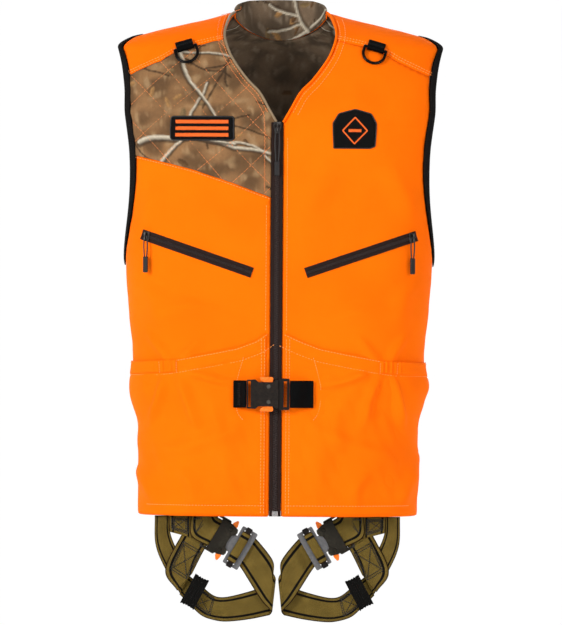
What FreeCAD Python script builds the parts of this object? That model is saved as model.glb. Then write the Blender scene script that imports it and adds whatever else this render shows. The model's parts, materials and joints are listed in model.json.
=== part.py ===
import FreeCAD, Part
import math
import os

# Safety harness vest, in millimetres.
# Frame: x to the wearer's left, y to the wearer's back, z up.
# Origin: centre of the neck at the height of the shoulder ridge.

V = FreeCAD.Vector

# ---- driving dimensions ----
HEM_Z = -688.0              # bottom edge of the vest body
SHELL = 3.0                 # quilted outer shell thickness
POWER = 3.0                 # roundness of the horizontal body section
# height, half width, half depth of the body, from hem to neck
PROFILE = [
    (-700.0, 192.0, 118.0), (-640.0, 192.0, 118.0), (-570.0, 192.5, 118.0),
    (-507.0, 205.0, 118.0), (-475.0, 201.0, 118.0), (-400.0, 207.0, 118.0),
    (-337.0, 213.0, 118.0), (-268.0, 219.0, 118.0), (-195.0, 227.0, 118.0),
    (-140.0, 231.0, 118.0), (-100.0, 231.0, 105.0), (-46.0, 228.0, 79.0),
    (-31.0, 206.0, 68.5), (-21.5, 174.0, 59.0), (-12.0, 133.0, 47.0),
    (-3.0, 96.0, 34.0), (10.0, 54.0, 16.0)]
NECK_HALF = 64.0            # neck half width at the shoulder ridge
NECK_BACK = 58.0            # neck hole depth behind the ridge
COLLAR_TOP = 26.0           # top of the back collar
ZIP_X = -3.5                # centre of the front zip
ZIP_TOP = -149.0
ZIP_HALF = 8.2              # half width of the zip tapes together
ARM_Z, ARM_HALF_HEIGHT, ARM_HALF_DEPTH = -185.0, 152.0, 75.0
BINDING = 7.5               # armhole binding width
WAIST_WEB = 38.0            # waist webbing width
LEG_WEB = 44.5              # leg webbing width
FRONT_Y = -118.0            # flat front face beside the zip
SEAM_GAP = 0.05             # gap between the two zip tapes, and beside them
TOP_INSET = 0.8             # the leg webbing starts this far below the hem

os.makedirs("parts", exist_ok=True)
NODES = {}


def keep(name, *shapes):
    """Write one node; several shapes stay separate solids."""
    solids = []
    for shape in shapes:
        solids += [s for s in shape.Solids if s.Volume > 0.5]
    node = solids[0] if len(solids) == 1 else Part.makeCompound(solids)
    NODES[name] = node
    node.exportStep("parts/" + name + ".step")
    print("%-28s solids %2d volume %9.1f valid %s" % (name, len(solids), node.Volume, node.isValid()))


# ---- general helpers ----
def smooth_value(z, column):
    """Monotone cubic through one column of PROFILE."""
    rows = PROFILE
    if z <= rows[0][0]:
        return rows[0][column]
    if z >= rows[-1][0]:
        return rows[-1][column]
    steps = [(rows[i + 1][column] - rows[i][column]) / (rows[i + 1][0] - rows[i][0])
             for i in range(len(rows) - 1)]

    def tangent(i):
        if i == 0 or i == len(rows) - 1:
            return steps[min(i, len(steps) - 1)]
        before, after = steps[i - 1], steps[i]
        if before * after <= 0:
            return 0.0
        return 2.0 * before * after / (before + after)

    i = max(k for k in range(len(rows) - 1) if rows[k][0] <= z)
    span = rows[i + 1][0] - rows[i][0]
    t = (z - rows[i][0]) / span
    low, high = rows[i][column], rows[i + 1][column]
    return ((2 * t**3 - 3 * t**2 + 1) * low + (t**3 - 2 * t**2 + t) * span * tangent(i)
            + (-2 * t**3 + 3 * t**2) * high + (t**3 - t**2) * span * tangent(i + 1))


def lift(z):
    """How much of a layer's offset goes upwards: none on the sides, all on the shoulders."""
    t = min(1.0, max(0.0, (z + 100.0) / 64.0))
    return t * t * (3 - 2 * t)


def body_y(x, z, offset=0.0):
    """Front surface y of the layer that lies offset mm outside the shell face."""
    base = z
    for _ in range(8):
        base = z - offset * lift(base)
    half = smooth_value(base, 1) + offset
    deep = smooth_value(base, 2) + offset
    return -deep * max(0.0, 1 - abs(x / half) ** POWER) ** (1 / POWER)


def body_normal(x, z, offset=0.0):
    """Outward unit normal of the front surface."""
    step = 0.5
    dy_dx = (body_y(x + step, z, offset) - body_y(x - step, z, offset)) / (2 * step)
    dy_dz = (body_y(x, z + step, offset) - body_y(x, z - step, offset)) / (2 * step)
    normal = V(dy_dx, -1, dy_dz)
    normal.normalize()
    return normal


def closed_curve(points):
    curve = Part.BSplineCurve()
    curve.interpolate(points, PeriodicFlag=True)
    return Part.Wire(curve.toShape())


def section(z, offset, count=40):
    half = smooth_value(z, 1) + offset
    deep = smooth_value(z, 2) + offset
    points = []
    for i in range(count):
        c = math.cos(2 * math.pi * i / count)
        s = math.sin(2 * math.pi * i / count)
        x = half * math.copysign(abs(c) ** (2 / POWER), c)
        y = deep * math.copysign(abs(s) ** (2 / POWER), s)
        points.append(V(x, y, z + offset * lift(z)))
    return closed_curve(points)


LAYER_CACHE = {}


def layer(offset, bottom):
    """Solid body form, offset mm outside the shell face, down to the height bottom."""
    key = (offset, bottom)
    if key not in LAYER_CACHE:
        heights = [bottom] + [row[0] for row in PROFILE if row[0] > bottom + 5]
        heights += [-450.0, -300.0, -120.0, -80.0, -46.0, -26.0, -16.0, -6.0, 4.0]
        wires = [section(z, offset) for z in sorted(set(heights))]
        LAYER_CACHE[key] = Part.makeLoft(wires, True, True)
    return LAYER_CACHE[key]


def shell(outer, inner):
    return layer(outer, HEM_Z).cut(layer(inner, HEM_Z - 12))


def prism_y(points, y0=-300.0, y1=0.0):
    """Prism along y over an outline of (x, z) points."""
    corners = [V(x, y0, z) for x, z in points]
    face = Part.Face(Part.makePolygon(corners + corners[:1]))
    return face.extrude(V(0, y1 - y0, 0))


def prism_z(points, z0, z1):
    corners = [V(x, y, z0) for x, y in points]
    face = Part.Face(Part.makePolygon(corners + corners[:1]))
    return face.extrude(V(0, 0, z1 - z0))


def prism_x(points, x0, x1):
    corners = [V(x0, y, z) for y, z in points]
    face = Part.Face(Part.makePolygon(corners + corners[:1]))
    return face.extrude(V(x1 - x0, 0, 0))


def box(x0, x1, y0, y1, z0, z1):
    return Part.makeBox(x1 - x0, y1 - y0, z1 - z0, V(x0, y0, z0))


def cylinder(radius, start, end):
    return Part.makeCylinder(radius, (end - start).Length, start, end - start)


def mirror(shape):
    return shape.mirror(V(0, 0, 0), V(1, 0, 0))


def bend(points, count=8):
    """Points of a smooth curve through a few (x, z) points."""
    curve = Part.BSplineCurve()
    curve.interpolate([V(p[0], 0, p[1]) for p in points])
    first, last = curve.FirstParameter, curve.LastParameter
    total = count * (len(points) - 1)
    values = [curve.value(first + (last - first) * i / total) for i in range(total + 1)]
    return [(p.x, p.z) for p in values]


def cord_path(points, diameter, label):
    """Straight runs joined by tangent arcs, each as large as its two runs allow."""
    edges, start, radii = [], points[0], []
    for i in range(1, len(points) - 1):
        before, here, after = points[i - 1], points[i], points[i + 1]
        into, out = here - before, after - here
        shorter = min(into.Length, out.Length)
        turn = into.getAngle(out)
        cut = 0.45 * shorter
        radii.append(cut / math.tan(turn / 2))
        into.normalize()
        out.normalize()
        arc_in, arc_out = here - into * cut, here + out * cut
        middle = (arc_in + arc_out) * 0.5
        half = (arc_out - arc_in).Length / 2
        bulge = here - middle
        bulge.normalize()
        sagitta = radii[-1] - math.sqrt(max(0.0, radii[-1] ** 2 - half ** 2))
        edges.append(Part.LineSegment(start, arc_in).toShape())
        edges.append(Part.Arc(arc_in, middle + bulge * sagitta, arc_out).toShape())
        start = arc_out
    edges.append(Part.LineSegment(start, points[-1]).toShape())
    wire = Part.Wire(edges)
    ring = Part.Wire(Part.makeCircle(diameter / 2, points[0], points[1] - points[0]))
    tube = wire.makePipeShell([ring], True, False)
    expected = math.pi * diameter ** 2 / 4 * wire.Length
    print("cord %s: length %.1f mm, radii %s, volume %.1f of %.1f"
          % (label, wire.Length, ["%.1f" % r for r in radii], tube.Volume, expected))
    return tube


# ---- openings cut through the body ----
def arm_prism(grow, side):
    """Armhole, as an egg in the side view, run out past one side."""
    points = []
    for i in range(48):
        angle = 2 * math.pi * i / 48
        y = (ARM_HALF_DEPTH + grow) * math.cos(angle)
        z = ARM_Z + (ARM_HALF_HEIGHT + grow) * math.sin(angle)
        points.append(V(side * 150, y, z))
    return Part.Face(closed_curve(points)).extrude(V(side * 120, 0, 0))


NECK_EDGE = bend([(9.5, ZIP_TOP), (15.0, -131.0), (28.0, -108.0), (45.0, -90.0), (62.5, -66.0),
                  (72.0, -47.0), (77.0, -25.0), (71.0, -2.0), (NECK_HALF, 9.0)], 4)
neck_outline = ([(ZIP_X + 8.2, ZIP_TOP)] + NECK_EDGE[1:] + [(NECK_HALF, 60.0), (-NECK_HALF, 60.0)]
                + [(-x, z) for x, z in reversed(NECK_EDGE[1:])] + [(ZIP_X - 8.2, ZIP_TOP)])
neck_front = prism_y(neck_outline, -200.0, 0.0)


def neck_column(inset):
    """Upright elliptical column of the neck opening, inset mm smaller."""
    ellipse = FreeCAD.Matrix()
    ellipse.scale(NECK_HALF - inset, NECK_BACK - inset, 1.0)
    return Part.makeCylinder(1.0, 200.0, V(0, 0, -100)).transformGeometry(ellipse)


neck_back = neck_column(0.0).common(box(-90, 90, 0, 90, -90, 90))
arms_big = [arm_prism(BINDING, side) for side in (-1, 1)]
arms_small = [arm_prism(0.0, side) for side in (-1, 1)]


def opened(shape, arms=arms_big):
    return shape.cut(neck_front).cut(neck_back).cut(arms[0]).cut(arms[1])


# ---- outer shell panels ----
YOKE_SEAM = [(77.0, -33.0), (110.0, -41.0), (143.0, -52.0), (162.0, -63.0), (208.0, -84.0), (260.0, -108.0)]
CAMO_SEAM = [(-260.0, -180.0), (-199.0, -194.5), (-121.0, -213.7), (-60.0, -234.0), (ZIP_X - ZIP_HALF, -252.0)]

outer_shell = opened(shell(0.0, -SHELL))
front_half = outer_shell.common(box(-300, 300, -200, 0, -800, 100))
zip_slot = box(ZIP_X - ZIP_HALF, ZIP_X + ZIP_HALF, -200, 0, -800, 0)
front_half = front_half.cut(zip_slot)
yoke_zone = [(20.0, -22.0)] + YOKE_SEAM + [(260.0, 60.0), (20.0, 60.0)]
yoke_left_zone = prism_y(yoke_zone)
yoke_right_zone = mirror(yoke_left_zone)
camo_zone = prism_y(CAMO_SEAM + [(ZIP_X - ZIP_HALF, 60.0), (-260.0, 60.0)])
right_half = front_half.common(box(-300, ZIP_X, -200, 0, -800, 100))
left_half = front_half.common(box(ZIP_X, 300, -200, 0, -800, 100))

keep("shoulder_yoke_right", right_half.common(yoke_right_zone))
keep("shoulder_yoke_left", left_half.common(yoke_left_zone))
below_yoke = right_half.cut(yoke_right_zone)
keep("chest_yoke_right", below_yoke.common(camo_zone))
keep("front_panel_right", below_yoke.cut(camo_zone))
keep("front_panel_left", left_half.cut(yoke_left_zone))
keep("back_panel", outer_shell.common(box(-300, 300, 0, 200, -800, 100)))

# ---- back collar: a low stand-up band along the back of the neck ----
collar_side = prism_x([(0.5, -18.0), (70.0, -52.0), (70.0, COLLAR_TOP), (42.0, COLLAR_TOP - 2.0),
                       (18.0, 17.0), (0.5, 9.0)], -90, 90)
keep("back_collar", neck_column(0.0).cut(neck_column(SHELL)).common(collar_side))

# ---- lining, harness webbing held between shell and lining ----
lining = opened(shell(-6.0, -7.0)).cut(zip_slot)
keep("camo_lining", lining)
strap_layer = opened(shell(-3.2, -4.4))
strap_left = strap_layer.common(box(140 - LEG_WEB / 2, 140 + LEG_WEB / 2, -200, 200, -683, 100))
keep("harness_shoulder_straps", strap_left, mirror(strap_left))
belt = shell(-4.5, -5.7).common(box(-300, 300, -200, 200, -540, -540 + WAIST_WEB))
keep("harness_waist_belt", belt.cut(box(-62, 52, -200, 0, -600, -450)))

# ---- armhole bindings ----
binding_layer = shell(1.4, -4.4)
for index, name in enumerate(("armhole_binding_right", "armhole_binding_left")):
    keep(name, binding_layer.common(arms_big[index]).cut(arms_small[index]))

# ---- front zip ----
zip_tape_right = box(ZIP_X - ZIP_HALF + SEAM_GAP, ZIP_X - SEAM_GAP, FRONT_Y, FRONT_Y + 1.2, HEM_Z, ZIP_TOP)
zip_tape_left = box(ZIP_X + SEAM_GAP, ZIP_X + ZIP_HALF - SEAM_GAP, FRONT_Y, FRONT_Y + 1.2, HEM_Z, ZIP_TOP)
zip_coil = box(ZIP_X - 2.6, ZIP_X + 2.6, FRONT_Y - 1.3, FRONT_Y, HEM_Z + 8, ZIP_TOP - 2)
keep("main_zip_tapes", zip_tape_right, zip_tape_left, zip_coil)
stop_box = box(ZIP_X - 4, ZIP_X + 4, FRONT_Y - 2.4, FRONT_Y, HEM_Z + 0.5, HEM_Z + 7.8)
keep("main_zip_end_box", stop_box.makeFillet(0.9, stop_box.Edges))

# ---- slanted chest pocket zips ----
POCKET_OUT = (187.0, -303.0)
POCKET_IN = (36.5, -355.0)
POCKET_BAND = 14.4
TAPE_TOP, COIL_TOP = 0.9, 1.9
pocket_run = V(POCKET_IN[0] - POCKET_OUT[0], 0, POCKET_IN[1] - POCKET_OUT[1])
pocket_length = pocket_run.Length
pocket_along = V(pocket_run)
pocket_along.normalize()
pocket_across = V(-pocket_along.z, 0, pocket_along.x)


def pocket_strip(half_width, start, end):
    """Outline of a strip along the left pocket opening."""
    corners = []
    for along, across in ((start, -half_width), (end, -half_width), (end, half_width), (start, half_width)):
        p = V(POCKET_OUT[0], 0, POCKET_OUT[1]) + pocket_along * along + pocket_across * across
        corners.append((p.x, p.z))
    return corners


tape_left = shell(TAPE_TOP, 0.0).common(prism_y(pocket_strip(POCKET_BAND / 2, 0, pocket_length)))
coil_left = shell(COIL_TOP, TAPE_TOP).common(prism_y(pocket_strip(2.0, 6, pocket_length - 4)))
keep("pocket_zip_tapes", tape_left, coil_left, mirror(tape_left), mirror(coil_left))

# ---- cargo pockets over the lower front, with elastic shell loops ----
POCKET_TOP = [(206.0, -477.0), (160.0, -476.0), (135.0, -472.5), (90.0, -464.0), (56.0, -457.0),
              (30.0, -447.0)]
pocket_face = shell(2.5, 0.0)
for name, inner_x, side in (("cargo_pocket_right", 13.0 - ZIP_X, -1), ("cargo_pocket_left", 12.0 + ZIP_X, 1)):
    outline = [(230.0, HEM_Z - 5), (230.0, -477.0)] + POCKET_TOP + [(inner_x, -437.0), (inner_x, HEM_Z - 5)]
    zone = prism_y(outline, -200.0, -22.0)
    if side < 0:
        zone = mirror(zone)
    keep(name, pocket_face.common(zone))

loop_zone = prism_y([(206.0, -478.0), (137.0, -474.0), (137.0, -492.0), (206.0, -496.0)], -200.0, -40.0)
loops_left = shell(4.0, 2.5).common(loop_zone)
keep("shell_loop_bands", loops_left, mirror(loops_left))

# ---- stitched patches on the chest ----
patch_right = shell(1.5, 0.0).common(prism_y([(-149, -141), (-61.5, -141), (-61.5, -175), (-149, -175)]))
patch_left = shell(1.5, 0.0).common(prism_y([(73, -134), (101, -130), (128, -134), (128, -180), (73, -184)]))
keep("chest_patches", patch_right, patch_left)

# ---- D-rings on webbing tabs ----
RING_X, RING_Z = 130.0, -48.5
RING_WIRE = 2.0
RING_HALF = 15.0
RING_DROP = 8.0
RING_TILT = math.radians(17.0)
SLEEVE_OUT = 3.9


def ring_frame():
    """Bar centre, bar direction, hanging direction and outward normal of the left ring."""
    normal = body_normal(RING_X, RING_Z)
    foot = V(RING_X, body_y(RING_X, RING_Z), RING_Z)
    bar = V(math.cos(RING_TILT), 0, -math.sin(RING_TILT))
    bar = bar - normal * bar.dot(normal)
    bar.normalize()
    down = normal.cross(bar)
    if down.z > 0:
        down = down * -1
    return foot + normal * (SLEEVE_OUT + 0.4), bar, down, normal


ring_centre, ring_bar, ring_down, ring_normal = ring_frame()
print("d_ring_left hinge", ring_centre, "axis", ring_bar, "normal", ring_normal)


def ring_point(p, q, w=0.0):
    return ring_centre + ring_bar * p + ring_down * q + ring_normal * w


def d_ring():
    shape = cylinder(RING_WIRE, ring_point(-RING_HALF, 0), ring_point(RING_HALF, 0))
    for side in (-1, 1):
        start, end = ring_point(side * RING_HALF, 0), ring_point(side * RING_HALF, RING_DROP)
        shape = shape.fuse(cylinder(RING_WIRE, start, end))
        shape = shape.fuse(Part.makeSphere(RING_WIRE, ring_point(side * RING_HALF, 0)))
    bow_axis = ring_bar.cross(ring_down)
    bow = Part.makeTorus(RING_HALF, RING_WIRE, V(0, 0, 0), V(0, 0, 1))
    bow.Placement = FreeCAD.Placement(ring_point(0, RING_DROP), FreeCAD.Rotation(V(0, 0, 1), bow_axis))
    keep_zone = Part.makeBox(60, 60, 60, V(-30, 0, -30))
    keep_zone.Placement = FreeCAD.Placement(
        ring_point(0, RING_DROP), FreeCAD.Rotation(ring_bar, ring_down, bow_axis, "XYZ"))
    return shape.fuse(bow.common(keep_zone)).removeSplitter()


def ring_tab():
    """Webbing round the ring's bar, with a tail that runs up into the yoke seam."""
    half, tail_length, tail_thick = 12.0, 11.0, 3.0
    bow_axis = ring_bar.cross(ring_down)
    out = 1 if bow_axis.dot(ring_normal) > 0 else -1
    near = -out * (SLEEVE_OUT - 0.1)
    corner = V(-half, -tail_length, min(near, near + out * tail_thick))
    tail = Part.makeBox(2 * half, tail_length, tail_thick, corner)
    tail.Placement = FreeCAD.Placement(ring_centre, FreeCAD.Rotation(ring_bar, ring_down, bow_axis, "XYZ"))
    sleeve = cylinder(SLEEVE_OUT, ring_point(-half, 0), ring_point(half, 0))
    return sleeve.fuse(tail).cut(cylinder(RING_WIRE + 0.3, ring_point(-half - 1, 0), ring_point(half + 1, 0)))


ring_left = d_ring()
keep("d_ring_left", ring_left)
keep("d_ring_right", mirror(ring_left))
tab_left = ring_tab().cut(layer(0.0, HEM_Z))
keep("d_ring_tabs", tab_left, mirror(tab_left))

# ---- tether loop on the upper back ----
LOOP_TOP, LOOP_BOTTOM, LOOP_OUT = -95.0, -165.0, 17.0
loop_outer = prism_x([(100, LOOP_TOP), (118 + LOOP_OUT, LOOP_TOP - 22), (118 + LOOP_OUT, LOOP_BOTTOM + 22),
                      (100, LOOP_BOTTOM)], -LEG_WEB / 2, LEG_WEB / 2)
loop_inner = prism_x([(100, LOOP_TOP - 6), (115 + LOOP_OUT, LOOP_TOP - 25), (115 + LOOP_OUT, LOOP_BOTTOM + 25),
                      (100, LOOP_BOTTOM + 6)], -LEG_WEB / 2 - 1, LEG_WEB / 2 + 1)
keep("dorsal_tether_loop", loop_outer.cut(loop_inner).cut(layer(0.0, HEM_Z)))


# ---- zip sliders and pull cords, in a local frame: x across, z up, y inwards, eye at the origin ----
CORD = 1.8
LEG_APART = 2.2


def slider_body(half_width, half_height):
    """Front plate with a bridge over the cord eye."""
    plate = prism_y([(-half_width * 0.62, -half_height), (half_width * 0.62, -half_height),
                     (half_width, half_height * 0.4), (half_width * 0.9, half_height),
                     (-half_width * 0.9, half_height), (-half_width, half_height * 0.4)], 1.3, 3.0)
    bridge = box(-1.0, 1.0, -2.6, 1.4, -5.5, 5.0)
    eye = box(-2.0, 2.0, -1.3, 1.3, -4.0, 3.6)
    return plate.fuse(bridge.cut(eye)).removeSplitter()


def pull_points(length):
    """Control points of the doubled cord, from the tab up through the eye and back."""
    one_side = [V(-1.7, 0, -length), V(-2.7, 0, -length * 0.72), V(-3.0, 0, -length * 0.44),
                V(-2.6, 0, -length * 0.19), V(-LEG_APART, 0, 0)]
    return one_side + [V(-p.x, 0, p.z) for p in reversed(one_side)]


def pull_tab(length, tab_length):
    tab = box(-3.6, 3.6, -1.7, 1.7, -length - tab_length, -length)
    return tab.makeFillet(1.3, tab.Edges)


def placed(shape, origin, angle=0.0, tilt=0.0):
    """Turn about y by tilt, then about z by angle, then move to origin."""
    turned = shape.copy()
    turned.rotate(V(0, 0, 0), V(0, 1, 0), tilt)
    turned.rotate(V(0, 0, 0), V(0, 0, 1), angle)
    turned.translate(origin)
    return turned


MAIN_EYE = V(ZIP_X, FRONT_Y - 4.7, -156.5)
MAIN_CORD = 46.0
keep("main_slider", placed(slider_body(5.6, 7.5), MAIN_EYE))
main_cord = cord_path([MAIN_EYE + p for p in pull_points(MAIN_CORD)], CORD, "main")
keep("main_pull_cord", main_cord)
keep("main_pull_tab", placed(pull_tab(MAIN_CORD, 20.0), MAIN_EYE))

# the pocket slider follows the curve of the body on an arc through three points of the opening
SLIDER_START = 7.0
SLIDER_BACK = 3.0           # from the cord eye to the back of the slider's plate


def opening_point(along, height):
    x = POCKET_OUT[0] + pocket_along.x * along
    z = POCKET_OUT[1] + pocket_along.z * along
    return V(x, body_y(x, z, height), z)


SLIDER_END = pocket_length - 6.0
arc_circle = Part.Circle(opening_point(SLIDER_START, COIL_TOP), opening_point(pocket_length * 0.4, COIL_TOP),
                         opening_point(SLIDER_END, COIL_TOP))
print("pocket arc centre", arc_circle.Center, "axis", arc_circle.Axis, "radius", arc_circle.Radius)
coil_heights = []
for i in range(21):
    along = SLIDER_START + (SLIDER_END - SLIDER_START) * i / 20
    coil_heights.append((opening_point(along, COIL_TOP) - arc_circle.Center).Length - arc_circle.Radius)
print("pocket arc, coil height over the arc:", [round(height, 2) for height in coil_heights])
POCKET_LIFT = 0.5 + round(max(coil_heights), 2)
start_point = opening_point(SLIDER_START, 0)
start_normal = body_normal(start_point.x, start_point.z)
start_flat = V(start_normal.x, start_normal.y, 0)
start_flat.normalize()
pocket_eye = opening_point(SLIDER_START, COIL_TOP) + start_normal * (SLIDER_BACK + POCKET_LIFT)
turn = math.degrees(math.atan2(start_flat.x, -start_flat.y))
print("pocket eye", pocket_eye, "turn", turn, "normal", start_normal)
POCKET_CORD = 28.0
slider_left = placed(slider_body(4.6, 6.0), pocket_eye, turn)
keep("pocket_slider_left", slider_left)
keep("pocket_slider_right", mirror(slider_left))
left_points = []
for p in pull_points(POCKET_CORD):
    q = FreeCAD.Rotation(V(0, 0, 1), turn).multVec(p)
    left_points.append(pocket_eye + q)
cord_left = cord_path(left_points, CORD, "pocket")
keep("pocket_pull_cord_left", cord_left)
keep("pocket_pull_cord_right", mirror(cord_left))
tab_pull_left = placed(pull_tab(POCKET_CORD, 22.0), pocket_eye, turn)
keep("pocket_pull_tab_left", tab_pull_left)
keep("pocket_pull_tab_right", mirror(tab_pull_left))


# ---- two-lever quick buckle, local frame: x along the webbing, z across, y inwards ----
PLATE = 2.0
PLAY = 0.3
RIVET_R = 1.5
PAWL_HUB = 2.9
TONGUE_LEFT = -13.0
TOOTH = [(7.5, 2.2), (9.0, 0.4), (9.0, -2.4), (6.8, -2.4), (6.4, -0.6), (2.4, 0.0), (-2.4, 0.0)]
WAIST_PAWL = [(-4.2, 4.6), (-11.0, 9.0), (-12.0, 12.2), (-11.0, 13.0), (4.8, 13.0), (6.2, 11.6), (6.0, 8.6),
              (4.4, 4.0)] + TOOTH
LEG_PAWL = [(-2.6, 6.0), (-1.6, 10.0), (1.4, 14.4), (3.4, 15.0), (4.6, 13.4), (5.8, 8.0), (5.4, 3.8)] + TOOTH


def rounded_plate(points, y0, y1, radius):
    plate = prism_y(points, y0, y1)
    upright = [e for e in plate.Edges if abs(e.Vertexes[0].Y - e.Vertexes[1].Y) > 0.5]
    return plate.makeFillet(radius, upright)


def quick_buckle(plate_points, pawl_points, rivet_z, frame_left, frame_right, frame_half, gap, slot_half):
    """All pieces of the buckle as a dictionary of shapes; the back plate's back is at y = 0."""
    parts = {}
    layers = [0.0, -PLATE, -PLATE - PLAY, -2 * PLATE - PLAY, -2 * PLATE - 2 * PLAY, -3 * PLATE - 2 * PLAY]
    back = rounded_plate(plate_points, layers[1], layers[0], 1.2)
    front = rounded_plate(plate_points, layers[5], layers[4], 1.2)
    rivets, pawls, springs = [], [], []
    for side in (1, -1):
        pivot = V(0, 0, side * rivet_z)
        shank = cylinder(RIVET_R, pivot + V(0, layers[0], 0), pivot + V(0, layers[5], 0))
        front_head = Part.makeCone(2.9, 2.0, 0.9, pivot + V(0, layers[5], 0), V(0, -1, 0))
        back_head = Part.makeCone(2.9, 2.0, 0.9, pivot, V(0, 1, 0))
        rivets.append(shank.fuse(front_head).fuse(back_head).removeSplitter())
        hole = cylinder(RIVET_R, pivot + V(0, 5, 0), pivot + V(0, -12, 0))
        back, front = back.cut(hole), front.cut(hole)
        outline = [(x, side * (rivet_z + z)) for x, z in pawl_points]
        lever = prism_y(outline, layers[3], layers[2])
        hub = cylinder(PAWL_HUB, pivot + V(0, layers[2], 0), pivot + V(0, layers[3], 0))
        bore = cylinder(RIVET_R + 0.05, pivot + V(0, 5, 0), pivot + V(0, -12, 0))
        pawls.append(lever.fuse(hub).removeSplitter().cut(bore))
        spring_start = V(-7.0, (layers[2] + layers[3]) / 2, side * (rivet_z + 1.0))
        springs.append(cylinder(0.8, spring_start, spring_start + V(0, 0, side * 4.0)))
    if slot_half > 0:
        window = box(plate_points[0][0] + 2.0, plate_points[0][0] + 5.6, -20, 5, -slot_half, slot_half)
        back, front = back.cut(window), front.cut(window)
    head_half = rivet_z - PAWL_HUB - PLAY
    tongue = box(TONGUE_LEFT, frame_left + 2, layers[3] + 0.05, layers[2] - 0.05, -head_half, head_half)
    frame = rounded_plate([(frame_left, -frame_half), (frame_right, -frame_half),
                           (frame_right, frame_half), (frame_left, frame_half)],
                          layers[3] + 0.05, layers[2] - 0.05, 2.0)
    window_half = frame_half - 4.0
    window = box(gap[0], gap[1], -20, 5, -window_half, window_half)
    parts["back_plate"], parts["front_plate"] = back, front
    parts["rivets"], parts["springs"], parts["pawls"] = rivets, springs, pawls
    parts["tongue"] = tongue.fuse(frame).removeSplitter().cut(window)
    return parts


WAIST_PLATE = [(-30.0, -19.5), (-18.0, -20.0), (-14.0, -16.5), (6.5, -16.5), (9.5, -19.5), (13.0, -19.5),
               (13.0, 19.5), (9.5, 19.5), (6.5, 16.5), (-14.0, 16.5), (-18.0, 20.0), (-30.0, 19.5)]
WAIST_AT = V(-13.0, -128.0, -520.5)
waist = quick_buckle(WAIST_PLATE, WAIST_PAWL, 10.5, 13.6, 28.5, 21.5, (20.5, 25.0), 17.5)


def at_waist(shape):
    return placed(shape, WAIST_AT)


keep("waist_buckle_back_plate", at_waist(waist["back_plate"]))
keep("waist_buckle_front_plate", at_waist(waist["front_plate"]))
keep("waist_buckle_rivets", *[at_waist(s) for s in waist["rivets"]])
keep("waist_buckle_springs", *[at_waist(s) for s in waist["springs"]])
keep("waist_pawl_upper", at_waist(waist["pawls"][0]))
keep("waist_pawl_lower", at_waist(waist["pawls"][1]))
keep("waist_buckle_tongue", at_waist(waist["tongue"]))
web_z0, web_z1 = WAIST_AT.z - WAIST_WEB / 2, WAIST_AT.z + WAIST_WEB / 2
keep("waist_webbing_right", prism_z([(-61, -120.9), (-56.5, -121.4), (-49.5, -127.8), (-45.5, -130.6),
                                     (-43.2, -130.6), (-43.2, -132.6), (-46.5, -132.6), (-51, -129.6),
                                     (-57.5, -123.6), (-61, -122.9)], web_z0, web_z1))
keep("waist_webbing_left", prism_z([(48, -120.9), (42, -121.4), (30, -127.5), (21, -130.4), (15.8, -130.6),
                                    (15.8, -132.6), (22, -132.6), (31, -129.8), (43, -123.6), (48, -122.9)],
                                   web_z0, web_z1))

# ---- leg loops: built on the wearer's right, mirrored to the left ----
LEG_TILT = 30.0             # buckle axis below the horizontal
LEG_AT = V(-71.0, -73.0, -721.0)
WEB = 2.6
LEG_PLATE_TOP = [(4.0, 3.0), (5.0, 9.0), (8.5, 11.5), (9.8, 15.8), (8.5, 20.0), (3.0, 21.5), (-2.0, 23.0),
                 (-16.5, 22.5)]
LEG_PLATE = [(x, -z) for x, z in reversed(LEG_PLATE_TOP)] + LEG_PLATE_TOP
leg = quick_buckle(LEG_PLATE, LEG_PAWL, 15.8, 11.5, 35.0, 28.5, (16.5, 27.2), 0.0)


def at_leg(shape):
    return placed(shape, LEG_AT, 0.0, LEG_TILT)


def leg_local(u, v):
    c, s = math.cos(math.radians(LEG_TILT)), math.sin(math.radians(LEG_TILT))
    return (LEG_AT.x + u * c + v * s, LEG_AT.z - u * s + v * c)


TOP = HEM_Z - TOP_INSET
hip_drop = prism_y([(-147, TOP), (-119, TOP), (-119, -718.0), (-146, -711.0)], -73.6, -73.6 + WEB)
hip_fold = prism_y([(-118.8, -718.4), leg_local(-17.4, -20.5), leg_local(-17.4, 22.0), (-85.0, TOP),
                    (-118.8, TOP)], -76.4, -76.4 + WEB)
riser_outer = bend([(-168.5, TOP), (-167.3, -728), (-154.6, -760.3), (-133.0, -796.0)], 3)
riser_inner = bend([(-148.0, TOP), (-147.0, -712), (-137.5, -736), (-118, -768)], 3)
riser = prism_y(riser_outer + riser_inner[::-1], -70.4, -70.4 + WEB)
cross = prism_y([(-127, -719), (-121, -719), (-100.5, -735), (-116.6, -768.4), (-136, -792.6), (-153.5, -764)],
                -73.6, -73.6 + WEB)
lower_upper = bend([(-121, -771), (-100.4, -788), (-88.9, -797.2), (-77.4, -800.7), (-60, -798.4),
                    (-31.2, -790.3), (-6, -782)], 3)
lower_lower = bend([(-134, -797), (-115.4, -815.7), (-101.6, -827.2), (-83.1, -833), (-65.8, -834.1),
                    (-37, -830.7), (-14, -826)], 3)
lower = prism_y(lower_upper + [(-3.6, -800)] + lower_lower[::-1], -67.4, -67.4 + WEB)
front_strap = prism_y([leg_local(36, 22), (-4.7, -748.8), (-2.4, -776.5), (-3.6, -799.5), (-8.2, -814.5),
                       leg_local(36, -25)], -77.8, -77.8 + WEB)


def keeper_ring():
    ring = box(-11.5, 11.5, -80.4, -62.2, -25.0, 25.0).cut(box(-13, 13, -79.0, -63.6, -23.6, 23.6))
    ring.rotate(V(0, 0, 0), V(0, 1, 0), 38.0)
    ring.translate(V(-115, 0, -791))
    return ring


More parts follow.
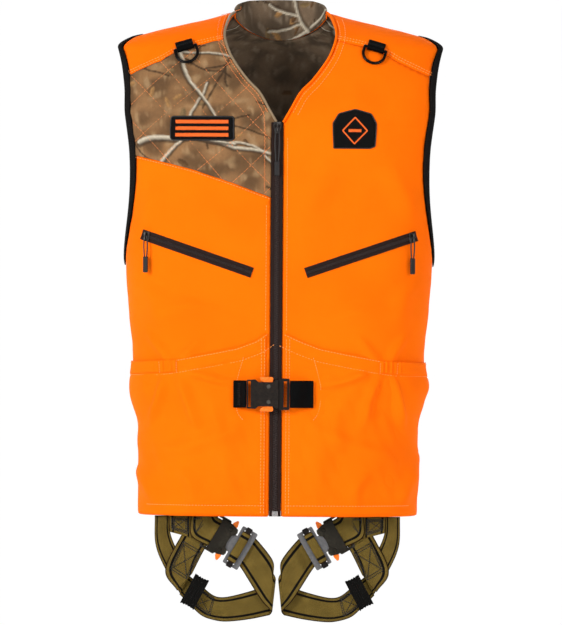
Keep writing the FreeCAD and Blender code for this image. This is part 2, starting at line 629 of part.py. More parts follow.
bail = rounded_plate([(-27.5, -26.0), (-4.5, -26.0), (-4.5, 26.0), (-27.5, 26.0)], 0.2, 2.2, 2.5)
bail = bail.cut(box(-24.5, -17.5, -1, 4, -22.5, 22.5))
bar = box(17.6, 26.0, -8.2, -4.5, -30.5, 30.5)
bar = bar.makeFillet(1.4, bar.Edges)

for side, flip in (("right", lambda s: s), ("left", mirror)):
    keep("leg_riser_straps_" + side, flip(hip_drop), flip(hip_fold), flip(riser), flip(cross))
    keep("leg_strap_keeper_" + side, flip(keeper_ring()))
    keep("leg_thigh_strap_" + side, flip(lower))
    keep("leg_front_strap_" + side, flip(front_strap))
    housing = [leg["back_plate"], leg["front_plate"]] + leg["rivets"] + [bail]
    keep("leg_buckle_housing_" + side, *[flip(at_leg(s)) for s in housing])
    keep("leg_pawl_upper_" + side, flip(at_leg(leg["pawls"][0])))
    keep("leg_pawl_lower_" + side, flip(at_leg(leg["pawls"][1])))
    keep("leg_buckle_tongue_" + side, flip(at_leg(leg["tongue"])))
    keep("leg_adjuster_bar_" + side, flip(at_leg(bar)))
print(len(NODES), "nodes")
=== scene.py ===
import json
import math
import random

import bpy
import numpy as np
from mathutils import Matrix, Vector, geometry


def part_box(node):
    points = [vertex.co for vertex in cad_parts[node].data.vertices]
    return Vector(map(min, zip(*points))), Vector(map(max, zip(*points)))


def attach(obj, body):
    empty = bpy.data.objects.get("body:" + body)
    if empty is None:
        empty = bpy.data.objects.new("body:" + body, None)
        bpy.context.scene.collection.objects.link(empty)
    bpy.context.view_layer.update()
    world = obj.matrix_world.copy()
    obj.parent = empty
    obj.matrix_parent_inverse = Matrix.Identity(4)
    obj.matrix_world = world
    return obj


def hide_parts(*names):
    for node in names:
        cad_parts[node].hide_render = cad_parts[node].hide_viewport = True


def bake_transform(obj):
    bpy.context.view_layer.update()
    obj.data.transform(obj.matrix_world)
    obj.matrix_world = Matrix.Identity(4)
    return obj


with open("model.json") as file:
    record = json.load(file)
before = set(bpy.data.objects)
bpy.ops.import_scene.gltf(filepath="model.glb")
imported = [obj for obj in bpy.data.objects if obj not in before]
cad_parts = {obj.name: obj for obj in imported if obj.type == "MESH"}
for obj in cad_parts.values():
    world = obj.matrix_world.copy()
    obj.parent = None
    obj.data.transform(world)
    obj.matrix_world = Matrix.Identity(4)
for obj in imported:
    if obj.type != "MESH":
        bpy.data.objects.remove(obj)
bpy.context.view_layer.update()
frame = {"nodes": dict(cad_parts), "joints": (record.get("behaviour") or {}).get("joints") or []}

# The looks of the safety harness vest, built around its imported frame.
# Lengths in this script are millimetres until a mesh is made, where MM turns them into metres.
MM = 0.001
SIDES = (("right", -1), ("left", 1))     # the wearer's side, and the sign of its x
WEB_WIDTH, BELT_WIDTH = 44.5, 38.0       # widths of the harness webbing and the belt webbing

# ---- driving sizes of the vest body, the same as in the CAD source ----
HEM_Z = -688.0
PROFILE = [
    (-700.0, 192.0, 118.0), (-640.0, 192.0, 118.0), (-570.0, 192.5, 118.0),
    (-507.0, 205.0, 118.0), (-475.0, 201.0, 118.0), (-400.0, 207.0, 118.0),
    (-337.0, 213.0, 118.0), (-268.0, 219.0, 118.0), (-195.0, 227.0, 118.0),
    (-140.0, 231.0, 118.0), (-100.0, 231.0, 105.0), (-46.0, 228.0, 79.0),
    (-31.0, 206.0, 68.5), (-21.5, 174.0, 59.0), (-12.0, 133.0, 47.0),
    (-3.0, 96.0, 34.0), (10.0, 54.0, 16.0)]
NECK_HALF, NECK_BACK, COLLAR_TOP = 64.0, 58.0, 26.0
ZIP_X, ZIP_TOP, ZIP_HALF = -3.5, -149.0, 8.2
ARM_Z, ARM_HALF_HEIGHT, ARM_HALF_DEPTH, BINDING = -185.0, 152.0, 75.0, 7.5
FRONT_Y = -118.0
YOKE_SEAM = [(76.5, -33.0), (110.0, -41.0), (143.0, -52.0), (162.0, -63.0), (208.0, -84.0), (260.0, -108.0)]
CAMO_SEAM = [(-11.7, -252.0), (-60.0, -234.0), (-121.0, -213.7), (-199.0, -194.5), (-260.0, -180.0)]
POCKET_OUT, POCKET_IN, POCKET_BAND = (187.0, -303.0), (36.5, -355.0), 14.4
POCKET_TOP = [(206.0, -477.0), (160.0, -476.0), (135.0, -472.5), (90.0, -464.0), (56.0, -457.0),
              (30.0, -447.0)]
SPREAD = 200.0              # mm of panel plan per radian round the body


# ---- curves ----
def catmull(points, count):
    """Points evenly spaced along a smooth curve through a few points of any dimension."""
    pts = np.array(points, float)
    ends = np.vstack([2 * pts[0] - pts[1], pts, 2 * pts[-1] - pts[-2]])
    fine = []
    for i in range(1, len(ends) - 2):
        p0, p1, p2, p3 = ends[i - 1:i + 3]
        for t in np.linspace(0, 1, 16, endpoint=False):
            fine.append(0.5 * (2 * p1 + (p2 - p0) * t + (2 * p0 - 5 * p1 + 4 * p2 - p3) * t ** 2
                               + (3 * p1 - p0 - 3 * p2 + p3) * t ** 3))
    fine.append(ends[-2])
    return evenly(fine, count)


def run_along(points):
    """The distance along a polyline at each of its points."""
    steps = np.linalg.norm(np.diff(points, axis=0), axis=1)
    return np.concatenate([[0], np.cumsum(steps)])


def unit(rows):
    """The same vectors, each of length one."""
    return rows / np.linalg.norm(rows, axis=1)[:, None]


def evenly(points, count):
    """The same polyline with count points at equal distances."""
    pts = np.array(points, float)
    run = run_along(pts)
    at = np.linspace(0, run[-1], count)
    return np.stack([np.interp(at, run, pts[:, k]) for k in range(pts.shape[1])], -1)


def length_of(points):
    return float(np.linalg.norm(np.diff(np.array(points, float), axis=0), axis=1).sum())


def stepped(points, step):
    """The same polyline with a point about every step mm."""
    return evenly(points, max(2, int(length_of(points) / step) + 1))


def smooth01(value):
    t = np.clip(value, 0.0, 1.0)
    return t * t * (3 - 2 * t)


# ---- the body form ----
def monotone(z, column):
    """Monotone cubic through one column of PROFILE."""
    rows = PROFILE
    i = min(len(rows) - 2, max(k for k in range(len(rows)) if rows[k][0] <= max(z, rows[0][0])))
    steps = [(above[column] - below[column]) / (above[0] - below[0])
             for below, above in zip(rows, rows[1:])]

    def tangent(k):
        if k in (0, len(rows) - 1):
            return steps[min(k, len(steps) - 1)]
        before, after = steps[k - 1], steps[k]
        return 0.0 if before * after <= 0 else 2.0 * before * after / (before + after)

    span = rows[i + 1][0] - rows[i][0]
    t = (z - rows[i][0]) / span
    return ((2 * t**3 - 3 * t**2 + 1) * rows[i][column] + (t**3 - 2 * t**2 + t) * span * tangent(i)
            + (-2 * t**3 + 3 * t**2) * rows[i + 1][column] + (t**3 - t**2) * span * tangent(i + 1))


HEIGHTS = np.arange(-700.0, 10.01, 0.5)
HALVES = np.array([monotone(z, 1) for z in HEIGHTS])
DEEPS = np.array([monotone(z, 2) for z in HEIGHTS])
RUNS = np.concatenate([[0], np.cumsum(np.hypot(np.diff(HEIGHTS), np.diff(HALVES)))])
NECK_Z = float(np.interp(-NECK_HALF, -HALVES[-80:], HEIGHTS[-80:]))     # the ridge height at the neck edge
ARM_TOP = ARM_Z + ARM_HALF_HEIGHT + BINDING
ARM_BOTTOM = ARM_Z - ARM_HALF_HEIGHT - BINDING


def half_width(z):
    return np.interp(z, HEIGHTS, HALVES)


def half_depth(z):
    return np.interp(z, HEIGHTS, DEEPS)


def place(phi, z, offset=0.0):
    """Points of the body form at the angle phi and height z, offset mm outside the shell face."""
    c, s = np.cos(phi), np.sin(phi)
    rho = (np.abs(c) ** 3 + np.abs(s) ** 3) ** (-1 / 3)
    rise = smooth01((z + 100.0) / 64.0) * offset
    return np.stack([(half_width(z) + offset) * c * rho, (half_depth(z) + offset) * s * rho, z + rise], -1)


def phi_front(x, z):
    """Angle of the front point that has this x."""
    across = np.clip(np.asarray(x, float) / half_width(z), -1, 1)
    return np.arctan2(-(1 - np.abs(across) ** 3) ** (1 / 3), across)


def phi_side(y, z, side):
    """Angle of the point of one side that has this y."""
    deep = np.clip(np.asarray(y, float) / half_depth(z), -1, 1)
    return np.arctan2(deep, side * (1 - np.abs(deep) ** 3) ** (1 / 3))


def arm_edge(grow, turns):
    """(y, z) of the armhole edge, grow mm outside the opening, at the angles turns."""
    y = (ARM_HALF_DEPTH + grow) * np.cos(turns)
    z = ARM_Z + (ARM_HALF_HEIGHT + grow) * np.sin(turns)
    return y, z


def front_polar(points):
    """(x, z) points of the front turned into (phi, z)."""
    pts = np.array(points, float)
    return np.stack([phi_front(pts[:, 0], pts[:, 1]), pts[:, 1]], -1)


def arm_polar(start, end, side, grow=BINDING):
    """(phi, z) points along the armhole edge from one angle to another."""
    turns = np.linspace(math.radians(start), math.radians(end), max(3, int(abs(end - start) / 1.6)))
    y, z = arm_edge(grow, turns)
    return np.stack([phi_side(y, z, side), z], -1)


def seam_meets_arm(seam, side):
    """Where a seam of (x, z) points reaches the armhole: the points before it, and the edge angle there."""
    before = []
    for x, z in stepped(seam, 1.0):
        turn = math.pi - math.asin(max(-1, min(1, (z - ARM_Z) / (ARM_HALF_HEIGHT + BINDING))))
        y, edge_z = arm_edge(BINDING, turn)
        edge = place(phi_side(y, edge_z, side), edge_z)[0]
        if side * x > side * edge:
            return evenly(before, max(2, len(before) // 4)), math.degrees(turn)
        before.append((x, z))
    return before, 0.0


def flip(points):
    """The mirror image of (x, z) points."""
    return [(-x, z) for x, z in points]


NECK_EDGE = [tuple(p) for p in catmull([(4.7, ZIP_TOP), (15.0, -131.0), (28.0, -108.0), (45.0, -90.0),
                                        (62.5, -66.0),
                                        (72.0, -47.0), (77.0, -25.0), (71.0, -2.0), (NECK_HALF, NECK_Z)],
                                       64)]
NECK_LOW = [p for p in NECK_EDGE if p[1] < -34.0]
NECK_HIGH = [p for p in NECK_EDGE if p[1] > -32.0]


# ---- meshes ----
def mesh_object(name, vertices, faces, material, uvs=None, colours=None, smooth=True):
    """A mesh in millimetres becomes an object in metres. uvs and colours hold one row per vertex."""
    mesh = bpy.data.meshes.new(name)
    mesh.from_pydata((np.asarray(vertices, float) * MM).tolist(), [],
                     [tuple(int(i) for i in f) for f in faces])
    loops = np.zeros(len(mesh.loops), int)
    mesh.loops.foreach_get("vertex_index", loops)
    if uvs is not None:
        layer = mesh.uv_layers.new(name="UVMap")
        layer.data.foreach_set("uv", np.asarray(uvs, float)[loops].ravel())
    if colours is not None:
        layer = mesh.color_attributes.new("Col", "FLOAT_COLOR", "POINT")
        rows = np.hstack([np.asarray(colours, float), np.ones((len(colours), 1))])
        layer.data.foreach_set("color", rows.ravel())
    mesh.materials.append(material)
    mesh.validate()
    mesh.polygons.foreach_set("use_smooth", [smooth] * len(mesh.polygons))
    obj = bpy.data.objects.new(name, mesh)
    bpy.context.scene.collection.objects.link(obj)
    return obj


def finish_piece(obj, body, slot_name, replaced=None):
    """What a piece needs: its body and the CAD node that it replaces; slot_name is not used. None skips a
    step.
    """
    if body:
        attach(obj, body)
    if replaced:
        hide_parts(replaced)
    return obj


def inside(points, outline):
    """Which points lie inside a closed outline."""
    x, y = points[:, 0:1], points[:, 1:2]
    x0, y0 = outline[:, 0], outline[:, 1]
    x1, y1 = np.roll(x0, -1), np.roll(y0, -1)
    with np.errstate(divide="ignore", invalid="ignore"):
        crossing = ((y0 > y) != (y1 > y)) & (x < (x1 - x0) * (y - y0) / (y1 - y0) + x0)
    return crossing.sum(1) % 2 == 1


def distance_to(points, line):
    """Distance of each point to a polyline, the place along it as a share, and the side as a sign."""
    start, end = np.array(line[:-1], float), np.array(line[1:], float)
    along = end - start
    square = (along ** 2).sum(1)
    run = np.concatenate([[0], np.cumsum(np.sqrt(square))])
    gap = points[:, None, :] - start[None]
    t = np.clip((gap * along).sum(2) / np.maximum(square, 1e-9), 0, 1)
    away = gap - t[..., None] * along
    distance = np.sqrt((away ** 2).sum(2))
    nearest = distance.argmin(1)
    rows = np.arange(len(points))
    share = (run[nearest] + t[rows, nearest] * np.sqrt(square[nearest])) / run[-1]
    cross = along[nearest, 0] * away[rows, nearest, 1] - along[nearest, 1] * away[rows, nearest, 0]
    return distance[rows, nearest], share, np.sign(cross)


def plan_of(polar):
    """(phi, z) points on the flat plan of the cloth."""
    return np.stack([polar[:, 0] * SPREAD, np.interp(polar[:, 1], HEIGHTS, RUNS)], -1)


BATCH = 1500                # points measured at a time, to save memory
CLEAR_OF_RIM = 0.55         # grid points nearer to the rim than this share of the spacing are dropped


def cut_plan(outline, spacing):
    """Triangles of a closed (phi, z) outline.

    Gives the (phi, z) vertices, the faces, the rim count, the distance to the rim and the plan."""
    if np.median(outline[:, 0]) < 0:     # the right side seam is -pi on the front and pi on the back
        outline = np.stack([np.where(outline[:, 0] > 1, outline[:, 0] - 2 * math.pi, outline[:, 0]),
                            outline[:, 1]], -1)
    else:
        outline = np.stack([np.where(outline[:, 0] < -1, outline[:, 0] + 2 * math.pi, outline[:, 0]),
                            outline[:, 1]], -1)
    rim = stepped(np.vstack([plan_of(outline), plan_of(outline[:1])]), spacing)[:-1]
    low, high = rim.min(0), rim.max(0)
    rows = []
    for row, v in enumerate(np.arange(low[1] + spacing / 2, high[1], spacing * 0.866)):
        shift = spacing / 2 if row % 2 else 0.0
        p = np.arange(low[0] + shift, high[0], spacing)
        rows.append(np.stack([p, np.full_like(p, v)], -1))
    grid = np.vstack(rows)
    grid = grid[inside(grid, rim)]
    closed = np.vstack([rim, rim[:1]])
    batches = np.array_split(grid, max(1, len(grid) // BATCH))
    gap = np.concatenate([distance_to(part, closed)[0] for part in batches])
    kept = gap > spacing * CLEAR_OF_RIM
    grid, gap = grid[kept], gap[kept]
    flat = np.vstack([rim, grid])
    count = len(rim)
    edges = [(i, (i + 1) % count) for i in range(count)]
    verts, _, faces, _, _, _ = geometry.delaunay_2d_cdt(
        [Vector(p) for p in flat], edges, [list(range(count))], 1, 1e-4)
    if len(verts) != len(flat):
        raise ValueError("the outline of a panel crosses itself")
    polar = np.stack([flat[:, 0] / SPREAD, np.interp(flat[:, 1], RUNS, HEIGHTS)], -1)
    turned = []
    for a, b, c in faces:
        area = np.cross(flat[b] - flat[a], flat[c] - flat[a])
        turned.append((a, b, c) if area > 0 else (a, c, b))
    return polar, turned, count, np.concatenate([np.zeros(count), gap]), flat


def cloth_panel(name, outline, spacing, thickness, outer, material, colour=None):
    """A closed sheet of cloth on the body form. outer(xyz, edge) gives the outer face's offset in mm."""
    polar, faces, rim, edge, flat = cut_plan(np.asarray(outline), spacing)
    rough = place(polar[:, 0], polar[:, 1])
    offset = outer(rough, edge)
    outside = place(polar[:, 0], polar[:, 1], offset)
    inner = place(polar[:, 0], polar[:, 1], offset - thickness)
    count = len(polar)
    all_faces = list(faces)
    all_faces += [(c + count, b + count, a + count) for a, b, c in faces]
    for i in range(rim):
        j = (i + 1) % rim
        all_faces.append((j, i, i + count, j + count))
    if signed_area(flat[:rim]) < 0:
        all_faces[-rim:] = [f[::-1] for f in all_faces[-rim:]]
    colours = None if colour is None else np.vstack([colour(flat)] * 2)
    obj = mesh_object(name, np.vstack([outside, inner]), all_faces, material, np.vstack([flat, flat]),
                      colours)
    return obj


def signed_area(points):
    x, y = points[:, 0], points[:, 1]
    return 0.5 * float((x * np.roll(y, -1) - y * np.roll(x, -1)).sum())


def sweep(name, rings, material, closed_path=False, closed_ring=True, uvs=None, caps=True):
    """A skin over rings of points, each ring the same length."""
    rings = np.asarray(rings, float)
    n, m = rings.shape[:2]
    faces = []
    for i in range(n if closed_path else n - 1):
        j = (i + 1) % n
        for k in range(m if closed_ring else m - 1):
            l = (k + 1) % m
            faces.append((i * m + k, i * m + l, j * m + l, j * m + k))
    if caps and not closed_path and closed_ring:
        faces.append(tuple(range(m))[::-1])
        faces.append(tuple((n - 1) * m + k for k in range(m)))
    flat = None if uvs is None else np.asarray(uvs, float).reshape(-1, 2)
    return mesh_object(name, rings.reshape(-1, 3), faces, material, flat)


def strap(name, left, right, outward, thickness, material, across=16, step=3.0, bulge=0.0, wave=None):
    """A webbing strap between two edge lines. outward points from its back to its face."""
    count = max(4, int(max(length_of(left), length_of(right)) / step))
    left, right = catmull(left, count), catmull(right, count)
    outward = np.asarray(outward, float)
    if outward.ndim == 1:
        outward = np.tile(outward, (count, 1))
    else:
        outward = catmull(outward, count)
    outward = unit(outward)
    run = run_along((left + right) / 2)
    even = np.linspace(0, 1, across + 1)
    bunched = (1 - np.cos(np.linspace(0, math.pi, across + 1))) / 2        # closer together at the edges
    shares = bunched * 0.25 + even * 0.75
    rings, uvs = [], []
    for i in range(count):
        width = np.linalg.norm(right[i] - left[i])
        face, back = [], []
        for share in shares:
            centre = left[i] + (right[i] - left[i]) * share
            round_off = min(1.0, min(share, 1 - share) * width / (thickness * 0.5) + 0.35)
            lift = bulge * math.sin(math.pi * share)
            if wave is not None:
                lift += wave(run[i] / run[-1], share)
            face.append(centre + outward[i] * (lift + thickness * 0.5 * round_off))
            back.append(centre + outward[i] * (lift - thickness * 0.5 * round_off))
        rings.append(face + back[::-1])
        u = shares * WEB_WIDTH
        uvs.append([(a, run[i]) for a in u] + [(a, run[i]) for a in u[::-1]])
    return sweep(name, rings, material, uvs=uvs)


class Stitches:
    """Short raised threads gathered into one mesh."""

    def __init__(self, name, material, slot_name):
        self.name, self.material, self.slot_name = name, material, slot_name
        self.vertices, self.faces = [], []

    def thread(self, start, end, normal, radius=0.45):
        """One stitch: a six-sided grain between two points, sunk at its ends."""
        start, end, normal = Vector(start), Vector(end), Vector(normal).normalized()
        along = end - start
        side = along.cross(normal).normalized()
        base = len(self.vertices)
        for share, size, rise in ((0, 0.45, -0.25), (0.22, 1, 0.15), (0.78, 1, 0.15), (1, 0.45, -0.25)):
            centre = start + along * share + normal * rise
            for k in range(6):
                turn = math.pi * k / 3
                spoke = side * math.cos(turn) + normal * math.sin(turn)
                self.vertices.append(centre + spoke * radius * size)
        for ring in range(3):
            for k in range(6):
                a, b = base + ring * 6 + k, base + ring * 6 + (k + 1) % 6
                self.faces.append((a, b, b + 6, a + 6))
        self.faces.append(tuple(base + k for k in range(6))[::-1])
        self.faces.append(tuple(base + 18 + k for k in range(6)))

    def line(self, points, normals, pitch=4.0, fill=0.68, radius=0.45):
        """A row of stitches along a line of points, with one normal for each point or one for all."""
        points = np.array(points, float)
        count = max(2, int(length_of(points) / pitch))
        normals = np.broadcast_to(np.array(normals, float), points.shape)
        at = evenly(np.hstack([points, normals]), count * 2 + 1)
        for i in range(count):
            a, middle, b = at[2 * i], at[2 * i + 1], at[2 * i + 2]
            start = middle[:3] + (a[:3] - middle[:3]) * fill
            end = middle[:3] + (b[:3] - middle[:3]) * fill
            self.thread(start, end, middle[3:], radius)

    def make(self, body):
        obj = mesh_object(self.name, [tuple(v) for v in self.vertices], self.faces, self.material)
        return finish_piece(obj, body, self.slot_name)


# ---- materials ----
class Shader:
    """One material: a principled shader, with short calls for the nodes that feed it."""

    def __init__(self, name, roughness=0.8, metallic=0.0, sheen=0.0, specular=0.5):
        self.material = bpy.data.materials.new(name)
        self.material.use_nodes = True
        self.tree = self.material.node_tree
        self.surface = next(n for n in self.tree.nodes if n.type == "BSDF_PRINCIPLED")
        self.set("Roughness", roughness)
        self.set("Metallic", metallic)
        self.set("Sheen Weight", sheen)
        self.set("Specular IOR Level", specular)

    def set(self, socket, value):
        self.surface.inputs[socket].default_value = value

    def link(self, value, socket):
        if isinstance(value, bpy.types.NodeSocket):
            self.tree.links.new(value, socket)
        else:
            socket.default_value = value

    def node(self, kind, inputs=(), **settings):
        made = self.tree.nodes.new("ShaderNode" + kind)
        for key, value in settings.items():
            setattr(made, key, value)
        for key, value in dict(inputs).items():
            self.link(value, made.inputs[key])
        return made

    def place(self, kind="Object", scale=(1, 1, 1)):
        """Texture coordinates in millimetres: the frame's own, or the cloth's plan with kind UV."""
        source = self.node("TexCoord").outputs[kind]
        grow = 1000.0 if kind == "Object" else 1.0
        return self.node("Mapping", {"Vector": source, "Scale": [grow * s for s in scale]}).outputs[0]

    def noise(self, where, scale, detail=3.0, rough=0.5):
        return self.node("TexNoise", {"Vector": where, "Scale": scale, "Detail": detail,
                                      "Roughness": rough}).outputs[0]

    def math(self, operation, a, b=0.0, c=0.0):
        return self.node("Math", {0: a, 1: b, 2: c}, operation=operation).outputs[0]

    def wave(self, value, pitch, swing=0.5, middle=0.5):
        """A sine of a length in mm with this pitch in mm, swinging about a middle value."""
        turned = self.math("MULTIPLY", value, 2 * math.pi / pitch)
        return self.math("MULTIPLY_ADD", self.math("SINE", turned), swing, middle)

    def ramp(self, value, stops):
        """stops holds (place, grey or colour)."""
        made = self.node("ValToRGB", {0: value})
        ramp = made.color_ramp
        while len(ramp.elements) < len(stops):
            ramp.elements.new(0.5)
        for element, (place, colour) in zip(ramp.elements, stops):
            element.position = place
            colour = (colour,) * 3 if isinstance(colour, (int, float)) else colour
            element.color = (*colour, 1)
        return made.outputs[0]

    def mix(self, share, a, b, blend="MIX"):
        made = self.node("Mix", data_type="RGBA", blend_type=blend)
        self.link(share, made.inputs[0])
        for value, socket in ((a, made.inputs[6]), (b, made.inputs[7])):
            self.link((*value, 1) if isinstance(value, tuple) and len(value) == 3 else value, socket)
        return made.outputs[2]

    def bump(self, height, distance, strength=1.0, under=None):
        inputs = {"Height": height, "Distance": distance * MM, "Strength": strength}
        if under is not None:
            inputs["Normal"] = under
        return self.node("Bump", inputs).outputs[0]

    def weave(self, where_uv, pitch, slant=0.0):
        """Crossing threads with this pitch in mm, as a height from 0 to 1."""
        parts = self.node("SeparateXYZ", {0: where_uv}).outputs
        turn = 2 * math.pi / pitch
        leaning = self.math("ADD", parts[0], self.math("MULTIPLY", parts[1], slant))
        warp = self.math("SINE", self.math("MULTIPLY", leaning, turn))
        weft = self.math("SINE", self.math("MULTIPLY", parts[1], turn))
        return self.math("MULTIPLY_ADD", self.math("MULTIPLY", warp, weft), 0.5, 0.5)

    def done(self, colour, normal=None, roughness=None):
        self.link((*colour, 1) if isinstance(colour, tuple) else colour, self.surface.inputs["Base Color"])
        if normal is not None:
            self.link(normal, self.surface.inputs["Normal"])
        if roughness is not None:
            self.link(roughness, self.surface.inputs["Roughness"])
        return self.material


def srgb(red, green, blue):
    """A colour from 0 to 255 as the shader's linear colour."""
    return tuple(((v / 255 + 0.055) / 1.055) ** 2.4 if v > 10 else v / 255 / 12.92
                 for v in (red, green, blue))


def brushed_cloth(name, light, dark, printed=False):
    """Soft brushed polyester with a fine weave under its nap. A print takes its colour from the mesh."""
    s = Shader(name, roughness=0.92, sheen=0.03, specular=0.06)
    s.set("Sheen Roughness", 0.5)
    s.set("Sheen Tint", (*light, 1))
    plan, where = s.place("UV"), s.place()
    weave = s.weave(plan, 1.1, 0.5)
    nap = s.noise(where, 0.9, 4.0, 0.7)
    tone = s.noise(where, 0.012, 2.0)
    base = s.mix(s.ramp(tone, [(0.3, 0.0), (0.7, 0.45)]), light, dark)
    if printed:
        print_layer = s.node("VertexColor", layer_name="Col").outputs[0]
        mottle = s.noise(where, 0.16, 6.0, 0.65)
        base = s.mix(0.3, print_layer, s.mix(mottle, (0.02, 0.017, 0.012), (0.98, 0.92, 0.8)), "OVERLAY")
    fleck = s.mix(s.ramp(nap, [(0.35, 0.25), (0.65, 0.0)]), base,
                  dark if not printed else (0.06, 0.05, 0.04))
    soft = s.bump(s.noise(where, 0.05, 3.0), 1.6, 0.35)
    fine = s.bump(s.math("MULTIPLY_ADD", nap, 0.6, weave), 0.12, 0.55, soft)
    return s.done(fleck, fine, s.ramp(nap, [(0.3, 0.85), (0.7, 0.98)]))


def webbing(name, ground, highlight, stripe=None, thread=None, pitch=1.7, width=WEB_WIDTH):
    """Woven strap: chevron ribs along it, with painted highlight on their crests and painted shade in their
    hollows, tracer stripes near its edges, and a darker selvedge.
    """
    s = Shader(name, roughness=0.7, sheen=0.0, specular=0.07)
    plan, where = s.place("UV"), s.place()
    parts = s.node("SeparateXYZ", {0: plan}).outputs
    chevron = s.math("PINGPONG", parts[0], width / 16)
    slope = s.math("ADD", parts[1], s.math("MULTIPLY", chevron, 1.2))
    rib = s.wave(slope, pitch)
    cord = s.wave(parts[0], 1.4)
    height = s.math("MULTIPLY_ADD", rib, 0.65, s.math("MULTIPLY", cord, 0.35))
    # painted highlight and shade: the rib crests take the highlight colour and the hollows the ground
    # colour
    base = s.mix(s.math("MULTIPLY", height, 0.9), ground, highlight)
    worn = s.noise(where, 0.06, 3.0)
    base = s.mix(s.ramp(worn, [(0.35, 0.35), (0.7, 0.0)]), base, ground)
    if stripe is not None:
        edge = s.math("MINIMUM", parts[0], s.math("SUBTRACT", width, parts[0]))
        near = s.math("ABSOLUTE", s.math("SUBTRACT", edge, 7.2))
        base = s.mix(s.ramp(s.math("DIVIDE", near, 4.0), [(0.4, 1.0), (0.5, 0.0)]), base, stripe)
        selvedge = s.ramp(s.math("DIVIDE", edge, 4.0), [(0.3, 1.0), (0.5, 0.0)])
        base = s.mix(selvedge, base, thread)
    return s.done(base, s.bump(height, 0.35, 0.7), s.ramp(height, [(0.0, 0.75), (1.0, 0.55)]))


def coated_metal(name, colour, wear, roughness, metallic=1.0, grain=0.6, amount=0.3):
    """Coated or satin metal with fine grain, rubbed lighter at its edges."""
    s = Shader(name, roughness=roughness, metallic=metallic, specular=0.22)
    where = s.place()
    point = s.node("NewGeometry").outputs["Pointiness"]
    scuff = s.noise(where, 0.25, 5.0, 0.7)
    edge = s.math("MULTIPLY", s.ramp(point, [(0.54, 0.0), (0.64, 1.0)]),
                  s.ramp(scuff, [(0.4, 0.2), (0.6, 1.0)]))
    base = s.mix(s.math("MULTIPLY", edge, amount), colour, wear)
    base = s.mix(s.ramp(scuff, [(0.3, 0.12), (0.7, 0.0)]), base, tuple(c * 0.6 for c in colour))
    fine = s.noise(s.place("Object", (0.3, 1, 1)), grain, 3.0)
    rough = s.ramp(scuff, [(0.3, min(1.0, roughness + 0.05)), (0.7, max(0.05, roughness - 0.04))])
    return s.done(base, s.bump(fine, 0.04, 0.6), rough)


def thread_material(name, colour, shade):
    """Twisted sewing thread."""
    s = Shader(name, roughness=0.55, sheen=0.1, specular=0.35)
    where = s.place()
    twist = s.noise(where, 1.4, 2.0)
    return s.done(s.mix(twist, shade, colour), s.bump(twist, 0.08, 0.8))


def tape_material(name, colour, shade, pitch):
    """Narrow woven tape with ribs across it, with painted highlight on their crests and painted shade in
    their hollows.
    """
    s = Shader(name, roughness=0.85, sheen=0.0, specular=0.12)
    plan, where = s.place("UV"), s.place()
    parts = s.node("SeparateXYZ", {0: plan}).outputs
    rib = s.wave(parts[1], pitch)
    mesh = s.wave(parts[0], 0.9, 0.3, rib)
    fuzz = s.noise(where, 0.7, 3.0)
    # painted highlight and shade: the rib crests take the light colour and the hollows the shade colour
    base = s.mix(s.math("MULTIPLY", rib, s.ramp(fuzz, [(0.3, 0.4), (0.7, 1.0)])), shade, colour)
    return s.done(base, s.bump(mesh, 0.25, 0.8))


def rubber_material(name, colour):
    """Moulded soft rubber with a fine satin grain."""
    s = Shader(name, roughness=0.55, specular=0.2)
    where = s.place()
    grain = s.noise(where, 1.2, 4.0)
    return s.done(s.mix(grain, colour, tuple(min(1, c * 2.2) for c in colour)), s.bump(grain, 0.05, 0.5),
                  s.ramp(grain, [(0.3, 0.4), (0.7, 0.62)]))


